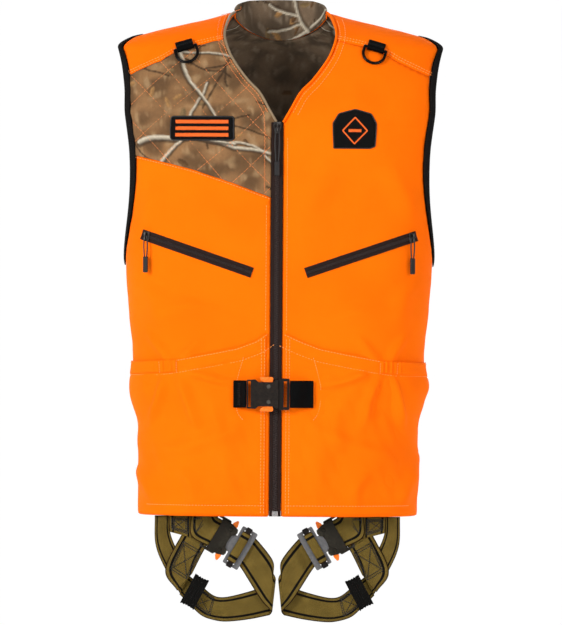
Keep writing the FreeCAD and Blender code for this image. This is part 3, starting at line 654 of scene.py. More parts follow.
ORANGE = srgb(254, 113, 3)
ORANGE_DEEP = srgb(255, 98, 0)
M = {
    "orange": brushed_cloth("orange_brushed_cloth", ORANGE, ORANGE_DEEP),
    "camo": brushed_cloth("camo_brushed_cloth", (0.3, 0.25, 0.18), (0.2, 0.16, 0.11), printed=True),
    "binding": tape_material("binding_ribbed_tape", srgb(26, 22, 20), srgb(8, 7, 6), 2.3),
    "zip_tape": tape_material("zip_woven_tape", srgb(54, 38, 33), srgb(30, 20, 17), 1.1),
    "black_web": webbing("black_webbing", srgb(1, 1, 1), srgb(5, 5, 5), width=BELT_WIDTH),
    "dark_web": webbing("dark_webbing", srgb(40, 40, 40), srgb(70, 70, 70)),
    "olive_web": webbing("olive_webbing", srgb(56, 44, 12), srgb(146, 122, 58), srgb(10, 8, 4),
                         srgb(40, 26, 9)),
    "piping": thread_material("neck_piping", srgb(150, 128, 98), srgb(112, 92, 66)),
    "patch": tape_material("patch_twill", srgb(14, 12, 11), srgb(4, 4, 4), 1.5),
    "elastic": tape_material("black_elastic", srgb(15, 13, 10), srgb(4, 4, 3), 2.8),
    "thread_orange": thread_material("thread_orange", srgb(244, 150, 82), srgb(226, 112, 40)),
    "thread_light": thread_material("thread_light", srgb(255, 176, 96), srgb(255, 128, 30)),
    "thread_patch": thread_material("thread_patch", srgb(255, 120, 20), srgb(220, 80, 0)),
    "thread_dark": thread_material("thread_dark", srgb(26, 23, 17), srgb(14, 12, 9)),
    "cord": thread_material("cord_braid", srgb(40, 38, 37), srgb(14, 13, 13)),
    "rubber": rubber_material("pull_rubber", srgb(28, 27, 27)),
    "slider": coated_metal("slider_lacquer", srgb(34, 28, 26), srgb(150, 146, 142), 0.35, 0.5, amount=0.6),
    "silver": coated_metal("zip_silver", srgb(176, 172, 170), srgb(235, 235, 235), 0.3),
    "ring": coated_metal("ring_black", srgb(30, 29, 29), srgb(120, 118, 116), 0.35),
    "buckle": coated_metal("buckle_dark", srgb(14, 8, 5), srgb(70, 56, 44), 0.5, 0.2),
    "gunmetal": coated_metal("gunmetal", srgb(29, 25, 17), srgb(110, 104, 88), 0.5, 0.3),
    "frame": coated_metal("satin_frame", srgb(96, 96, 97), srgb(170, 170, 172), 0.5, 0.6),
    "lever": coated_metal("orange_lever", srgb(252, 112, 8), srgb(255, 180, 100), 0.4, metallic=0.3),
    "rivet": coated_metal("rivet_steel", srgb(92, 88, 82), srgb(190, 186, 180), 0.35, 0.8),
}


# ---- how the cloth stands off the body form ----
FOLDS = [   # a line of (x, z) points, its width and its height
    ([(-176, -440), (-158, -462), (-148, -477)], 6, 1.8),
    ([(-104, -446), (-120, -462), (-133, -474)], 6, 1.6),
    ([(172, -442), (158, -460), (150, -477)], 6, 1.7),
    ([(108, -444), (122, -462), (136, -475)], 7, 1.6),
    ([(-60, -380), (-120, -400), (-190, -425)], 16, 1.6),
    ([(50, -382), (110, -410), (185, -418)], 18, 1.5),
    ([(-30, -300), (-70, -290), (-120, -250)], 20, 1.1),
    ([(30, -270), (60, -230), (70, -195)], 18, 1.2),
    ([(140, -200), (170, -250), (180, -290)], 16, 1.4),
    ([(-165, -235), (-175, -262), (-178, -290)], 14, 1.2),
    ([(190, -350), (170, -380), (160, -420)], 14, 1.4),
    ([(-196, -350), (-170, -385), (-158, -430)], 14, 1.4),
    ([(90, -95), (120, -150), (150, -190)], 22, 0.9)]
POCKET_FOLDS = [
    ([(-155, -497), (-160, -525), (-172, -560)], 6, 2.4),
    ([(-134, -497), (-122, -530), (-108, -572)], 7, 2.3),
    ([(-124, -488), (-90, -500), (-56, -508)], 6, 2.4),
    ([(-172, -600), (-110, -590), (-50, -566)], 11, 2.0),
    ([(-196, -620), (-178, -645), (-160, -675)], 9, 2.2),
    ([(-90, -520), (-80, -560), (-84, -610)], 12, 1.4),
    ([(-48, -540), (-70, -600), (-64, -660)], 13, 1.6),
    ([(-130, -620), (-115, -650), (-120, -680)], 9, 1.6),
    ([(156, -497), (163, -528), (170, -566)], 6, 2.4),
    ([(136, -497), (122, -528), (112, -566)], 7, 2.2),
    ([(122, -488), (88, -502), (52, -510)], 6, 2.4),
    ([(166, -612), (112, -596), (56, -570)], 11, 2.0),
    ([(192, -600), (180, -640), (164, -676)], 9, 2.0),
    ([(88, -524), (74, -562), (80, -606)], 12, 1.5),
    ([(40, -548), (56, -600), (50, -664)], 13, 1.6),
    ([(120, -626), (104, -652), (110, -680)], 9, 1.6)]
BACK_FOLDS = [
    ([(-150, -150), (-60, -210), (40, -235)], 20, 2.0),
    ([(150, -170), (80, -225), (10, -260)], 20, 1.8),
    ([(-170, -380), (-60, -410), (60, -400)], 24, 2.0),
    ([(160, -430), (70, -455), (-40, -450)], 22, 1.8),
    ([(-120, -500), (-100, -580), (-110, -660)], 22, 2.2),
    ([(110, -500), (130, -580), (118, -660)], 22, 2.2),
    ([(0, -480), (12, -570), (4, -670)], 24, 1.6)]


def folded(xz, folds):
    """Height of the soft folds, fading at their ends."""
    total = np.zeros(len(xz))
    for line, width, height in folds:
        distance, share, _ = distance_to(xz, catmull(line, 14))
        fade = np.sqrt(np.sin(math.pi * np.clip(share, 0.02, 0.98)))
        total += height * np.exp(-(distance / width) ** 2) * fade
    return total


def ripple(xz, size, seed):
    """A slow even unrest between -1 and 1, the same each run."""
    rng = random.Random(seed)
    total = np.zeros(len(xz))
    for _ in range(7):
        turn, phase = rng.uniform(0, math.pi), rng.uniform(0, 2 * math.pi)
        wave = size * rng.uniform(0.7, 1.6)
        total += np.sin((xz[:, 0] * math.cos(turn) + xz[:,
                                                        1] * math.sin(turn)) * 2 * math.pi / wave + phase)
    return total / 4.0


def tab_room(xz, below=32.0, reach=22.0):
    """Nought where the pocket zips' pull tabs hang and travel, and one away from there."""
    room = np.ones(len(xz))
    for sign in (-1, 1):
        path = [(sign * POCKET_OUT[0], POCKET_OUT[1] - below), (sign * POCKET_IN[0], POCKET_IN[1] - below)]
        room = np.minimum(room, smooth01((distance_to(xz, path)[0] - reach) / reach))
    return room


def shell_height(xyz, edge):
    """Offset of the shell cloth: rolled in at its seams, full between them, flat beside the zip."""
    xz = xyz[:, [0, 2]]
    still = smooth01((np.abs(xz[:, 0] - ZIP_X) - 12.0) / 30.0)
    full = 0.7 * (1 - np.exp(-edge / 16.0)) - 1.3 * np.exp(-edge / 2.2)
    front = xyz[:, 1] < 0
    folds = np.where(front, folded(xz, FOLDS) * tab_room(xz), folded(xz, BACK_FOLDS))
    calm = np.where(front, 1 - tab_room(xz, 42.0, 17.0), 0.0)
    unrest = (0.45 * ripple(xz, 95, 3) + 0.16 * ripple(xz, 24, 5)) * (1 - calm) - 1.0 * calm
    return full + still * (3.6 * folds * smooth01(edge / 14.0) + unrest)


def lifted(height, edge, lift):
    """A height function: the cloth's height as if edge mm from its rim, raised by lift mm."""
    return lambda xyz, _: height(xyz, np.full(len(xyz), edge)) + lift


def camo_height(xyz, edge):
    """Offset of the quilted yoke: puffed between its diamond seams."""
    xz = xyz[:, [0, 2]]
    puff = 1.6 * np.minimum(1.0, quilt_distance(xz) / 9.0) ** 0.6
    return shell_height(xyz, edge) * 0.6 + 0.5 + puff - 1.2


QUILT, QUILT_TILT = 42.0, (math.radians(42.0), math.radians(-47.0))


def quilt_distance(xz):
    """Distance to the nearest diamond quilting seam."""
    gaps = []
    for turn in QUILT_TILT:
        across = xz[:, 0] * math.sin(turn) - xz[:, 1] * math.cos(turn) + 3.0 * np.sin(xz[:, 0] / 37.0)
        gaps.append(np.abs((across + QUILT / 2) % QUILT - QUILT / 2))
    return np.minimum(*gaps)


POCKET_INNER = {"right": -16.5, "left": 8.5}
POCKET_SIDE_Y = -22.0
BAND_DEPTH = 19.0


def pocket_top(side):
    """(x, z) of a cargo pocket's opening, from the outside to the zip."""
    sign = -1 if side == "right" else 1
    return [(sign * x, z) for x, z in POCKET_TOP] + [(POCKET_INNER[side], -437.0)]


def pocket_height(side):
    """Offset of a cargo pocket: a doubled band along its opening, gathers below the loops, and folds."""
    top = stepped(pocket_top(side), 5)

    def height(xyz, edge):
        xz = xyz[:, [0, 2]]
        below = distance_to(xz, top)[0]
        rim = np.minimum(edge, below + 50)
        band = 0.9 * smooth01((BAND_DEPTH - below) / 2.5) + 1.4 * np.exp(-below / 7.0)
        seam = -0.7 * np.exp(-((below - BAND_DEPTH) / 2.0) ** 2)
        gathers = 0.8 * np.sin(np.abs(xz[:, 0]) * 2 * math.pi / 6.0) * np.exp(-((below - 10) / 13.0) ** 2)
        gathers *= smooth01((np.abs(xz[:, 0]) - 128) / 10) * smooth01((172 - np.abs(xz[:, 0])) / 10)
        still = smooth01((np.abs(xz[:, 0] - ZIP_X) - 15.0) / 35.0) * smooth01((below - 6) / 22.0)
        still *= smooth01((edge - 1) / 14.0)
        unrest = folded(xz, POCKET_FOLDS) + 0.6 * ripple(xz, 70, 11) + 0.25 * ripple(xz, 22, 12)
        return 1.6 + band + seam + gathers + still * 3.1 * unrest - 0.9 * np.exp(-rim / 2.5)

    return height


def loop_height(side):
    """Offset of the elastic loop band over a cargo pocket's own band, gathered at its inner loop."""
    under = pocket_height(side)

    def height(xyz, edge):
        across = np.abs(xyz[:, 0])
        gathers = 0.55 * np.sin(across * 2 * math.pi / 3.6 + 0.5 * ripple(xyz[:, [0, 2]], 9, 31))
        gathers *= smooth01((across - 138) / 4) * smooth01((161 - across) / 4)
        return under(xyz, np.full(len(xyz), 12.0)) + 0.5 + 0.9 * smooth01(edge / 3.0) + gathers

    return height


def on_front(points, height, edge=12.0):
    """3-D points and normals on the front, above a height function of the cloth or a plain offset."""
    pts = np.array(points, float)
    phi = phi_front(pts[:, 0], pts[:, 1])
    rough = place(phi, pts[:, 1])
    if callable(height):
        offset = height(rough, np.full(len(pts), edge))
    else:
        offset = np.full(len(pts), float(height))
    step = 0.004
    along = place(phi + step, pts[:, 1]) - place(phi - step, pts[:, 1])
    up = place(phi, pts[:, 1] + 0.8) - place(phi, pts[:, 1] - 0.8)
    return place(phi, pts[:, 1], offset), unit(np.cross(along, up))


# ---- camouflage: a made-up woodland print, painted on the mesh ----
def grow_branch(rng, start, heading, length, width, depth, made, least=1.5, forks=0.07):
    """A wandering branch with forks; adds (points, widths) to made."""
    points, widths = [np.array(start, float)], [width]
    steps = max(3, int(length / 5.0))
    for i in range(steps):
        heading += rng.gauss(0, 0.13)
        points.append(points[-1] + 5.0 * np.array([math.cos(heading), math.sin(heading)]))
        widths.append(max(least, width * (1 - 0.7 * (i + 1) / steps)))
        if depth > 0 and rng.random() < forks:
            lean = heading + rng.choice((-1, 1)) * rng.uniform(0.4, 1.1)
            grow_branch(rng, points[-1], lean, length * rng.uniform(0.3, 0.6), widths[-1] * 0.7, depth - 1,
                        made, least, forks)
    made.append((np.array(points), np.array(widths)))


def lay(under, over, cover):
    """Colours with another laid over them, each as thick as its cover from 0 to 1."""
    return under + (over - under) * cover[:, None]


def camo_print(seed, low, high, trunks, ground, least=1.5, twigs=14):
    """A painter of vertex colours for a plan region: mottled ground, leaves, twigs and branches."""
    rng = random.Random(seed)
    light, thin = [], []
    for start, heading, length, width in trunks:
        grow_branch(rng, start, heading, length, width, 1, light, least)
    for _ in range(twigs):
        start = (rng.uniform(low[0], high[0]), rng.uniform(low[1], high[1]))
        grow_branch(rng, start, rng.uniform(0, 2 * math.pi), rng.uniform(35, 80), least, 1, thin,
                    least * 0.8)
    leaves = [(rng.uniform(low[0], high[0]), rng.uniform(low[1], high[1]), rng.uniform(0, math.pi),
               rng.uniform(5, 12), rng.uniform(2, 4.5), rng.randrange(3)) for _ in range(26)]
    cream, shade = np.array(srgb(205, 195, 175)), np.array(srgb(62, 47, 34))
    leaf_colours = [np.array(srgb(*c)) for c in ((150, 112, 70), (92, 66, 42), (118, 96, 66))]
    ground = [np.array(srgb(*c)) for c in ground]

    def near(flat, branch):
        points, widths = branch
        distance, share, side = distance_to(flat, points)
        return distance, np.interp(share, np.linspace(0, 1, len(widths)), widths), side

    def paint(flat):
        a = 0.5 + 0.5 * ripple(flat, 46, seed)
        b = 0.5 + 0.5 * ripple(flat, 17, seed + 1)
        stretched = flat * np.array([1.0, 0.22])
        c = 0.5 + 0.5 * ripple(stretched, 7, seed + 2)
        colour = lay(ground[0], ground[1], smooth01(a * 1.4 - 0.2))
        colour = lay(colour, ground[2], 0.65 * smooth01(b * 2 - 0.8) * smooth01(c * 2 - 0.5))
        for x, y, turn, long, wide, kind in leaves:
            gap = flat - np.array([x, y])
            p = gap[:, 0] * math.cos(turn) + gap[:, 1] * math.sin(turn)
            q = gap[:, 1] * math.cos(turn) - gap[:, 0] * math.sin(turn)
            cover = smooth01((1 - (p / long) ** 2 - (q / wide) ** 2) * 2.5)
            colour = lay(colour, leaf_colours[kind] * (0.8 + 0.3 * (q > 0))[:, None], cover)
        for branch in thin:
            distance, width, _ = near(flat, branch)
            cover = smooth01((width - distance) / 0.9 + 0.5)
            colour = lay(colour, shade * 0.8, cover * 0.85)
        for branch in light:
            distance, width, side = near(flat, branch)
            halo = smooth01((width * 1.5 + 1.5 - distance) / 2.0)
            colour = lay(colour, shade, halo * 0.75 * (side < 0))
            cover = smooth01((width - distance) / 1.6 + 0.5)
            grain = flat[:, 0] * 1.3 + flat[:, 1] * 0.9 + 2.5 * ripple(flat, 11, seed + 3)
            bark = 0.88 + 0.12 * np.sin(grain)
            lit = smooth01(0.62 + 0.6 * side * distance / np.maximum(width, 0.5))
            colour = lay(colour, lay(shade, cream, lit * bark), cover)
        return np.clip(colour, 0, 1)

    return paint


# ---- outlines of the panels, as (phi, z) ----
SEAM_PHI = {1: 0.0, -1: -math.pi}       # the angle of the side seam, by the sign of its x


def ridge(start, end, phi):
    """Points along the shoulder ridge or a side seam."""
    return np.array([(phi, z) for z in np.linspace(start, end, max(2, int(abs(end - start) / 4)))])


def plan_box(outline):
    """Two opposite corners of an outline's plan."""
    plan = plan_of(outline)
    return plan.min(0), plan.max(0)


def hem_line(start, end, count=60, z=HEM_Z):
    """The hem of the front from one x to another."""
    return front_polar([(x, z) for x in np.linspace(start, end, count)])


def sided(points, side):
    return points if side > 0 else flip(points)


def yoke_outline(side):
    seam, turn = seam_meets_arm(sided(YOKE_SEAM, side), side)
    return np.vstack([front_polar(seam), arm_polar(turn, 90, side), ridge(ARM_TOP, NECK_Z, SEAM_PHI[side]),
                      front_polar(sided(NECK_HIGH, side)[::-1])])


def neck_and_seam(side):
    """The neck edge up from the zip, then the yoke seam out to the armhole."""
    seam, turn = seam_meets_arm(sided(YOKE_SEAM, side), side)
    return np.vstack([front_polar(sided(NECK_LOW, side)), front_polar(seam)]), turn


def front_left_outline():
    top, turn = neck_and_seam(1)
    edge = ZIP_X + ZIP_HALF
    return np.vstack([top, arm_polar(turn, 270, 1), ridge(ARM_BOTTOM - 2, HEM_Z, 0.0),
                      hem_line(185, edge)])


def chest_yoke_outline():
    top, turn = neck_and_seam(-1)
    seam, low_turn = seam_meets_arm(CAMO_SEAM, -1)
    top = np.vstack([front_polar([(ZIP_X - ZIP_HALF, ZIP_TOP - 1)]), top])
    return np.vstack([top, arm_polar(turn, low_turn, -1), front_polar(seam[::-1])])


def front_right_outline():
    seam, turn = seam_meets_arm(CAMO_SEAM, -1)
    edge = ZIP_X - ZIP_HALF
    return np.vstack([front_polar(seam), arm_polar(turn, 270, -1), ridge(ARM_BOTTOM - 2, HEM_Z, -math.pi),
                      hem_line(-185, edge)])


def back_neck():
    """(phi, z) of the back neck edge, from the wearer's left to their right."""
    rows = []
    for turn in np.linspace(0.02, math.pi - 0.02, 60):
        x, y = NECK_HALF * math.cos(turn), NECK_BACK * math.sin(turn)
        low, high = -90.0, 9.5
        for _ in range(30):
            middle = (low + high) / 2
            if abs(x / half_width(middle)) ** 3 + abs(y / half_depth(middle)) ** 3 < 1:
                low = middle
            else:
                high = middle
        rows.append((math.atan2(y / half_depth(low), x / half_width(low)), low))
    return np.array(rows)


def back_outline():
    return np.vstack([ridge(HEM_Z, ARM_BOTTOM - 2, 0.0), arm_polar(-90, 90, 1),
                      ridge(ARM_TOP, NECK_Z - 1, 0.0),
                      back_neck(), ridge(NECK_Z - 1, ARM_TOP, math.pi), arm_polar(90, -90, -1),
                      ridge(ARM_BOTTOM - 2, HEM_Z, math.pi),
                      np.array([(phi, HEM_Z) for phi in np.linspace(math.pi, 0, 90)])])


def pocket_outline(side):
    sign = -1 if side == "right" else 1
    outer = [(float(phi_side(POCKET_SIDE_Y, z, sign)), z) for z in np.linspace(HEM_Z + 1, -477, 40)]
    top = stepped(pocket_top(side), 4)
    inner = [(POCKET_INNER[side], z) for z in np.linspace(-438, HEM_Z + 1, 50)]
    hem = hem_line(POCKET_INNER[side], sign * 180, z=HEM_Z + 1)[1:]
    return np.vstack([outer, front_polar(top), front_polar(inner), hem])


CLOTH = 1.3


def make_shell():
    """The outer cloth, panel by panel, and the cargo pockets over it."""
    panels = [
        ("cloth_yoke_right", yoke_outline(-1), "shoulder_yoke_right", 5.0, (0.17, 0.17)),
        ("cloth_yoke_left", yoke_outline(1), "shoulder_yoke_left", 5.0, (0.17, 0.17)),
        ("cloth_front_right", front_right_outline(), "front_panel_right", 5.0, (0.3, 0.52)),
        ("cloth_front_left", front_left_outline(), "front_panel_left", 5.0, (0.31, 0.66)),
        ("cloth_back", back_outline(), "back_panel", 6.5, (0.56, 0.72))]
    for name, outline, node, spacing, cut in panels:
        obj = cloth_panel(name, outline, spacing, CLOTH, shell_height, M["orange"])
        finish_piece(obj, "vest", "orange_shell", node)
    low, high = plan_box(chest_yoke_outline())
    paint = camo_print(41, low, high, [
        ((low[0] + 20, low[1] + 75), 0.42, 240, 4.2), ((low[0] + 60, high[1] - 20), -0.85, 150, 3.0),
        ((low[0] + 5, low[1] + 20), 0.3, 110, 4.6)], ((140, 104, 70), (98, 72, 48), (164, 134, 98)))
    yoke = cloth_panel("cloth_camo_yoke", chest_yoke_outline(), 1.7, CLOTH, camo_height, M["camo"], paint)
    finish_piece(yoke, "vest", "camo_fabric", "chest_yoke_right")
    for side in ("right", "left"):
        obj = cloth_panel("cloth_cargo_pocket_" + side, pocket_outline(side), 3.6, CLOTH,
                          pocket_height(side), M["orange"])
        finish_piece(obj, "vest", "orange_shell", "cargo_pocket_" + side)


def make_loop_bands():
    """The elastic loop band over the outer end of each cargo pocket's opening."""
    for side, sign in SIDES:
        corners = [(float(phi_side(-41.0, -478.5, sign)), -478.5),
                   (float(phi_front(sign * 137.0, -474.5)), -474.5),
                   (float(phi_front(sign * 137.0, -491.5)), -491.5),
                   (float(phi_side(-41.0, -495.5, sign)), -495.5)]
        obj = cloth_panel("loop_band_" + side, np.array(corners), 1.3, 1.2, loop_height(side), M["orange"])
        finish_piece(obj, "vest", "orange_shell", "shell_loop_bands" if side == "right" else None)


def lining_height(xyz, edge):
    """The lining hangs inside, and comes up to the shell where they are sewn together."""
    return -1.4 - 4.6 * smooth01(edge / 22.0) + 0.4 * ripple(xyz[:, [0, 2]], 60, 21) * smooth01(edge / 30.0)


def make_lining():
    """The camouflage lining inside the back and the two fronts."""
    outline = back_outline()
    low, high = plan_box(outline)
    middle = (low[0] + high[0]) / 2
    paint = camo_print(77, low, high, [
        ((middle - 95, high[1] - 205), 0.95, 330, 8.5), ((middle + 110, high[1] - 260), 1.9, 220, 5.0),
        ((middle - 150, high[1] - 480), 0.9, 300, 6.0), ((middle + 40, low[1] + 60), 1.4, 300, 6.5)],
        ((112, 94, 76), (80, 67, 54), (132, 116, 98)), least=3.2, twigs=5)
    back = cloth_panel("lining_back", outline, 3.2, 0.6, lining_height, M["camo"], paint)
    finish_piece(back, "vest", "camo_fabric", "camo_lining")
    for name, side in (("lining_front_right", -1), ("lining_front_left", 1)):
        phi = SEAM_PHI[side]
        top = np.vstack([front_polar(sided(NECK_EDGE, side)), ridge(NECK_Z, ARM_TOP, phi),
                         arm_polar(90, 270, side),
                         ridge(ARM_BOTTOM - 2, HEM_Z, phi), hem_line(side * 185, ZIP_X + side * ZIP_HALF)])
        low, high = plan_box(top)
        paint = camo_print(90 + side, low, high, [((low[0] + 60, low[1] + 40), 1.2, 420, 6.0),
                                                  ((high[0] - 60, low[1] + 80), 1.8, 420, 5.0)],
                           ((112, 96, 82), (80, 67, 57), (140, 126, 112)), least=6.0, twigs=2)
        obj = cloth_panel(name, top, 6.5, 0.6, lining_height, M["camo"], paint)
        finish_piece(obj, "vest", "camo_fabric")


def make_collar():
    """The low collar at the back of the neck: cloth outside, camouflage facing inside."""
    turns = np.linspace(0.01, math.pi - 0.01, 90)
    y = NECK_BACK * np.sin(turns)
    top = np.interp(y, [0.5, 18.0, 42.0, 58.0], [9.0, 17.0, COLLAR_TOP - 2, COLLAR_TOP])
    low = np.array([z for _, z in back_neck()])
    low = np.interp(turns, np.linspace(0.02, math.pi - 0.02, len(low)), low) - 9.0
    paint = camo_print(78, (-100, -60), (100, 60), [((-90, -50), 0.55, 230, 5.5),
                                                    ((60, -60), 2.0, 130, 3.5)],
                       ((112, 94, 76), (80, 67, 54), (132, 116, 98)), least=2.2, twigs=4)
    for name, inset, thickness, key, slot_name in (("collar_outside", 0.0, 1.5, "orange", "orange_shell"),
                                                   ("collar_facing", 1.7, 1.2, "camo", "camo_fabric")):
        rings, uvs = [], []
        for turn, z0, z1 in zip(turns, low, top):
            face, back, plan = [], [], []
            for share in np.linspace(0, 1, 30):
                soft = 1.0 * math.sin(math.pi * share)
                round_in = 0.7 if share > 0.97 else 0.0
                for rows, depth in ((face, inset + round_in - soft * 0.3),
                                    (back, inset + thickness - round_in)):
                    if key == "camo":
                        depth -= (inset + 0.4) * float(smooth01((share - 0.86) / 0.1)) * (rows is face)
                    lift = 0.9 * float(smooth01((share - 0.86) / 0.1)) if key == "camo" else 0.0
                    rows.append(((NECK_HALF - depth) * math.cos(turn), (NECK_BACK - depth) * math.sin(turn),
                                 z0 + (z1 - z0) * share + lift))
                plan.append((-(turn - math.pi / 2) * 61, share * (z1 - z0) - 30))
            rings.append(face + back[::-1])
            uvs.append(plan + plan[::-1])
        obj = sweep(name, rings, M[key], uvs=uvs)
        if key == "camo":
            flat = np.array(uvs, float).reshape(-1, 2)
            layer = obj.data.color_attributes.new("Col", "FLOAT_COLOR", "POINT")
            rows = np.hstack([paint(flat), np.ones((len(flat), 1))])
            layer.data.foreach_set("color", rows.ravel())
        finish_piece(obj, "vest", slot_name, "back_collar" if key == "orange" else None)


# ---- bindings, seams and stitches ----
def make_bindings():
    """Ribbed tape folded over each armhole edge."""
    profile = [(7.6, 0.2), (7.4, 1.2), (5.0, 1.7), (2.0, 1.8), (0.3, 1.0), (-0.5, -1.2), (0.0, -3.6),
               (2.0, -4.9),
               (5.0, -5.0), (7.4, -4.6), (7.6, -3.9), (4.5, -3.9), (1.6, -2.6), (1.6, -0.6), (4.5, 0.1)]
    count = 960
    for side, name in ((-1, "right"), (1, "left")):
        rings, uvs = [], []
        turns = np.linspace(0, 2 * math.pi, count, endpoint=False)
        run = 0.0
        edges = np.stack(arm_edge(0, turns), -1)
        steps = np.linalg.norm(np.roll(edges, -1, 0) - edges, axis=1)
        for turn, step in zip(turns, steps):
            rib = 0.16 * math.sin(run * 2 * math.pi / 2.4)
            ring, plan = [], []
            for k, (grow, offset) in enumerate(profile):
                y, z = arm_edge(grow, turn)
                out = offset + (rib if k in (1, 2, 3, 4) else 0.0)
                ring.append(place(phi_side(y, z, side), z, out))
                plan.append((k * 2.0, run))
            rings.append(ring[::side])
            uvs.append(plan[::side])
            run += step
        obj = sweep("binding_armhole_" + name, rings, M["binding"], closed_path=True, uvs=uvs)
        finish_piece(obj, "vest", "binding_tape", "armhole_binding_" + name)


def seam_line(stitches, points, height, edge, pitch=4.2, **settings):
    at, normals = on_front(stepped(points, 2.0), height, edge)
    stitches.line(at + normals * 0.15, normals, pitch, **settings)


def inset(points, distance):
    """A line moved sideways, to its left."""
    pts = np.array(points, float)
    along = unit(np.gradient(pts, axis=0))
    return pts + np.stack([-along[:, 1], along[:, 0]], -1) * distance


def make_seams():
    """Topstitching beside the zip and neck, under the yokes and on the pockets, and the quilting."""
    pale = Stitches("stitches_shell", M["thread_light"], "orange_shell")
    right, left = ZIP_X - ZIP_HALF, ZIP_X + ZIP_HALF
    seam_line(pale, [(left + 6, z) for z in np.linspace(-170, -434, 80)], shell_height, 6)
    seam_line(pale, [(right - 6, z) for z in np.linspace(-262, -434, 60)], shell_height, 6)
    seam_line(pale, inset(NECK_EDGE[6:], -12.0)[:-6], shell_height, 12)
    seam_line(pale, inset(NECK_EDGE[6:], -5.0)[:-6], shell_height, 5)
    for side in (1, -1):
        high = sided(YOKE_SEAM[:5], side)
        for gap in (2.4, 5.2):
            seam_line(pale, inset(stepped(high, 5), gap * side), shell_height, gap)
    seam_line(pale, inset(stepped(CAMO_SEAM[:4], 5), 2.6), shell_height, 2.6)
    for side, sign in SIDES:
        height = pocket_height(side)
        top = stepped(pocket_top(side), 4)
        for gap in (2.5, BAND_DEPTH):
            seam_line(pale, inset(top, -gap * -sign), height, gap)
        inner = POCKET_INNER[side]
        for gap in (2.2, 6.5):
            seam_line(pale, [(inner + sign * gap, z) for z in np.linspace(-445, HEM_Z + 4, 70)], height,
                      gap)
        seam_line(pale, [(x, HEM_Z + 15) for x in np.linspace(inner + sign * 3, sign * 178, 70)], height,
                  15)
        for column in (137.0, 160.0):
            seam_line(pale, [(sign * column, z) for z in np.linspace(-477, -493, 8)], loop_height(side), 10,
                      pitch=3.2)
        exit_slot = catmull([(sign * 47, -470), (sign * 55, -497), (sign * 58, -521), (sign * 55, -545),
                             (sign * 47, -556)], 50)
        seam_line(pale, exit_slot, height, 20, pitch=3.4)
    pale.make("vest")

    quilt = Stitches("stitches_camo_quilting", M["thread_orange"], "camo_fabric")
    polar = chest_yoke_outline()
    spots = place(polar[:, 0], polar[:, 1])[:, [0, 2]]
    for turn in QUILT_TILT:
        for row in range(-12, 13):
            across = row * QUILT
            x = np.arange(-235, 0, 2.0)
            z = (x * math.sin(turn) + 3.0 * np.sin(x / 37.0) - across) / math.cos(turn)
            line = np.stack([x, z], -1)
            line = line[inside(line, spots)]
            if len(line) > 4:
                seam_line(quilt, line, camo_height, 9, pitch=5.0, fill=0.94, radius=0.3)
    seam_line(quilt, inset(flip(NECK_EDGE[6:]), 4.0), camo_height, 4)
    zigzag = inset(flip(NECK_EDGE[6:]), 9.0)
    zigzag = np.vstack([np.array([(right - 8, z) for z in np.linspace(-244, -160, 30)]), zigzag])
    zigzag = evenly(zigzag, int(length_of(zigzag) / 2.6))
    zigzag[::2] += np.array([-1.5, 0.4])
    seam_points, normals = on_front(zigzag, camo_height, 9)
    for i in range(len(zigzag) - 1):
        quilt.thread(seam_points[i] + normals[i] * 0.2, seam_points[i + 1] + normals[i] * 0.2, normals[i],
                     0.28)
    quilt.make("vest")


def make_neck_piping():
    """A thin rolled piping along each side of the neck edge."""
    for side, sign, key, slot_name in (("right", -1, "piping", "camo_fabric"),
                                       ("left", 1, "orange", "orange_shell")):
        line = stepped(sided(NECK_EDGE, sign), 2.0)
        at, normals = on_front(line, 0.0)
        across = np.cross(unit(np.gradient(at, axis=0)), normals)
        turns = np.linspace(0, 2 * math.pi, 12, endpoint=False)
        rings = [[at[i] + (across[i] * math.cos(t) + normals[i] * math.sin(t)) * 1.7 for t in turns]
                 for i in range(len(at))]
        uvs = [[(k * 0.9, i * 2.0) for k in range(12)] for i in range(len(at))]
        finish_piece(sweep("neck_piping_" + side, rings, M[key], uvs=uvs), "vest", slot_name)


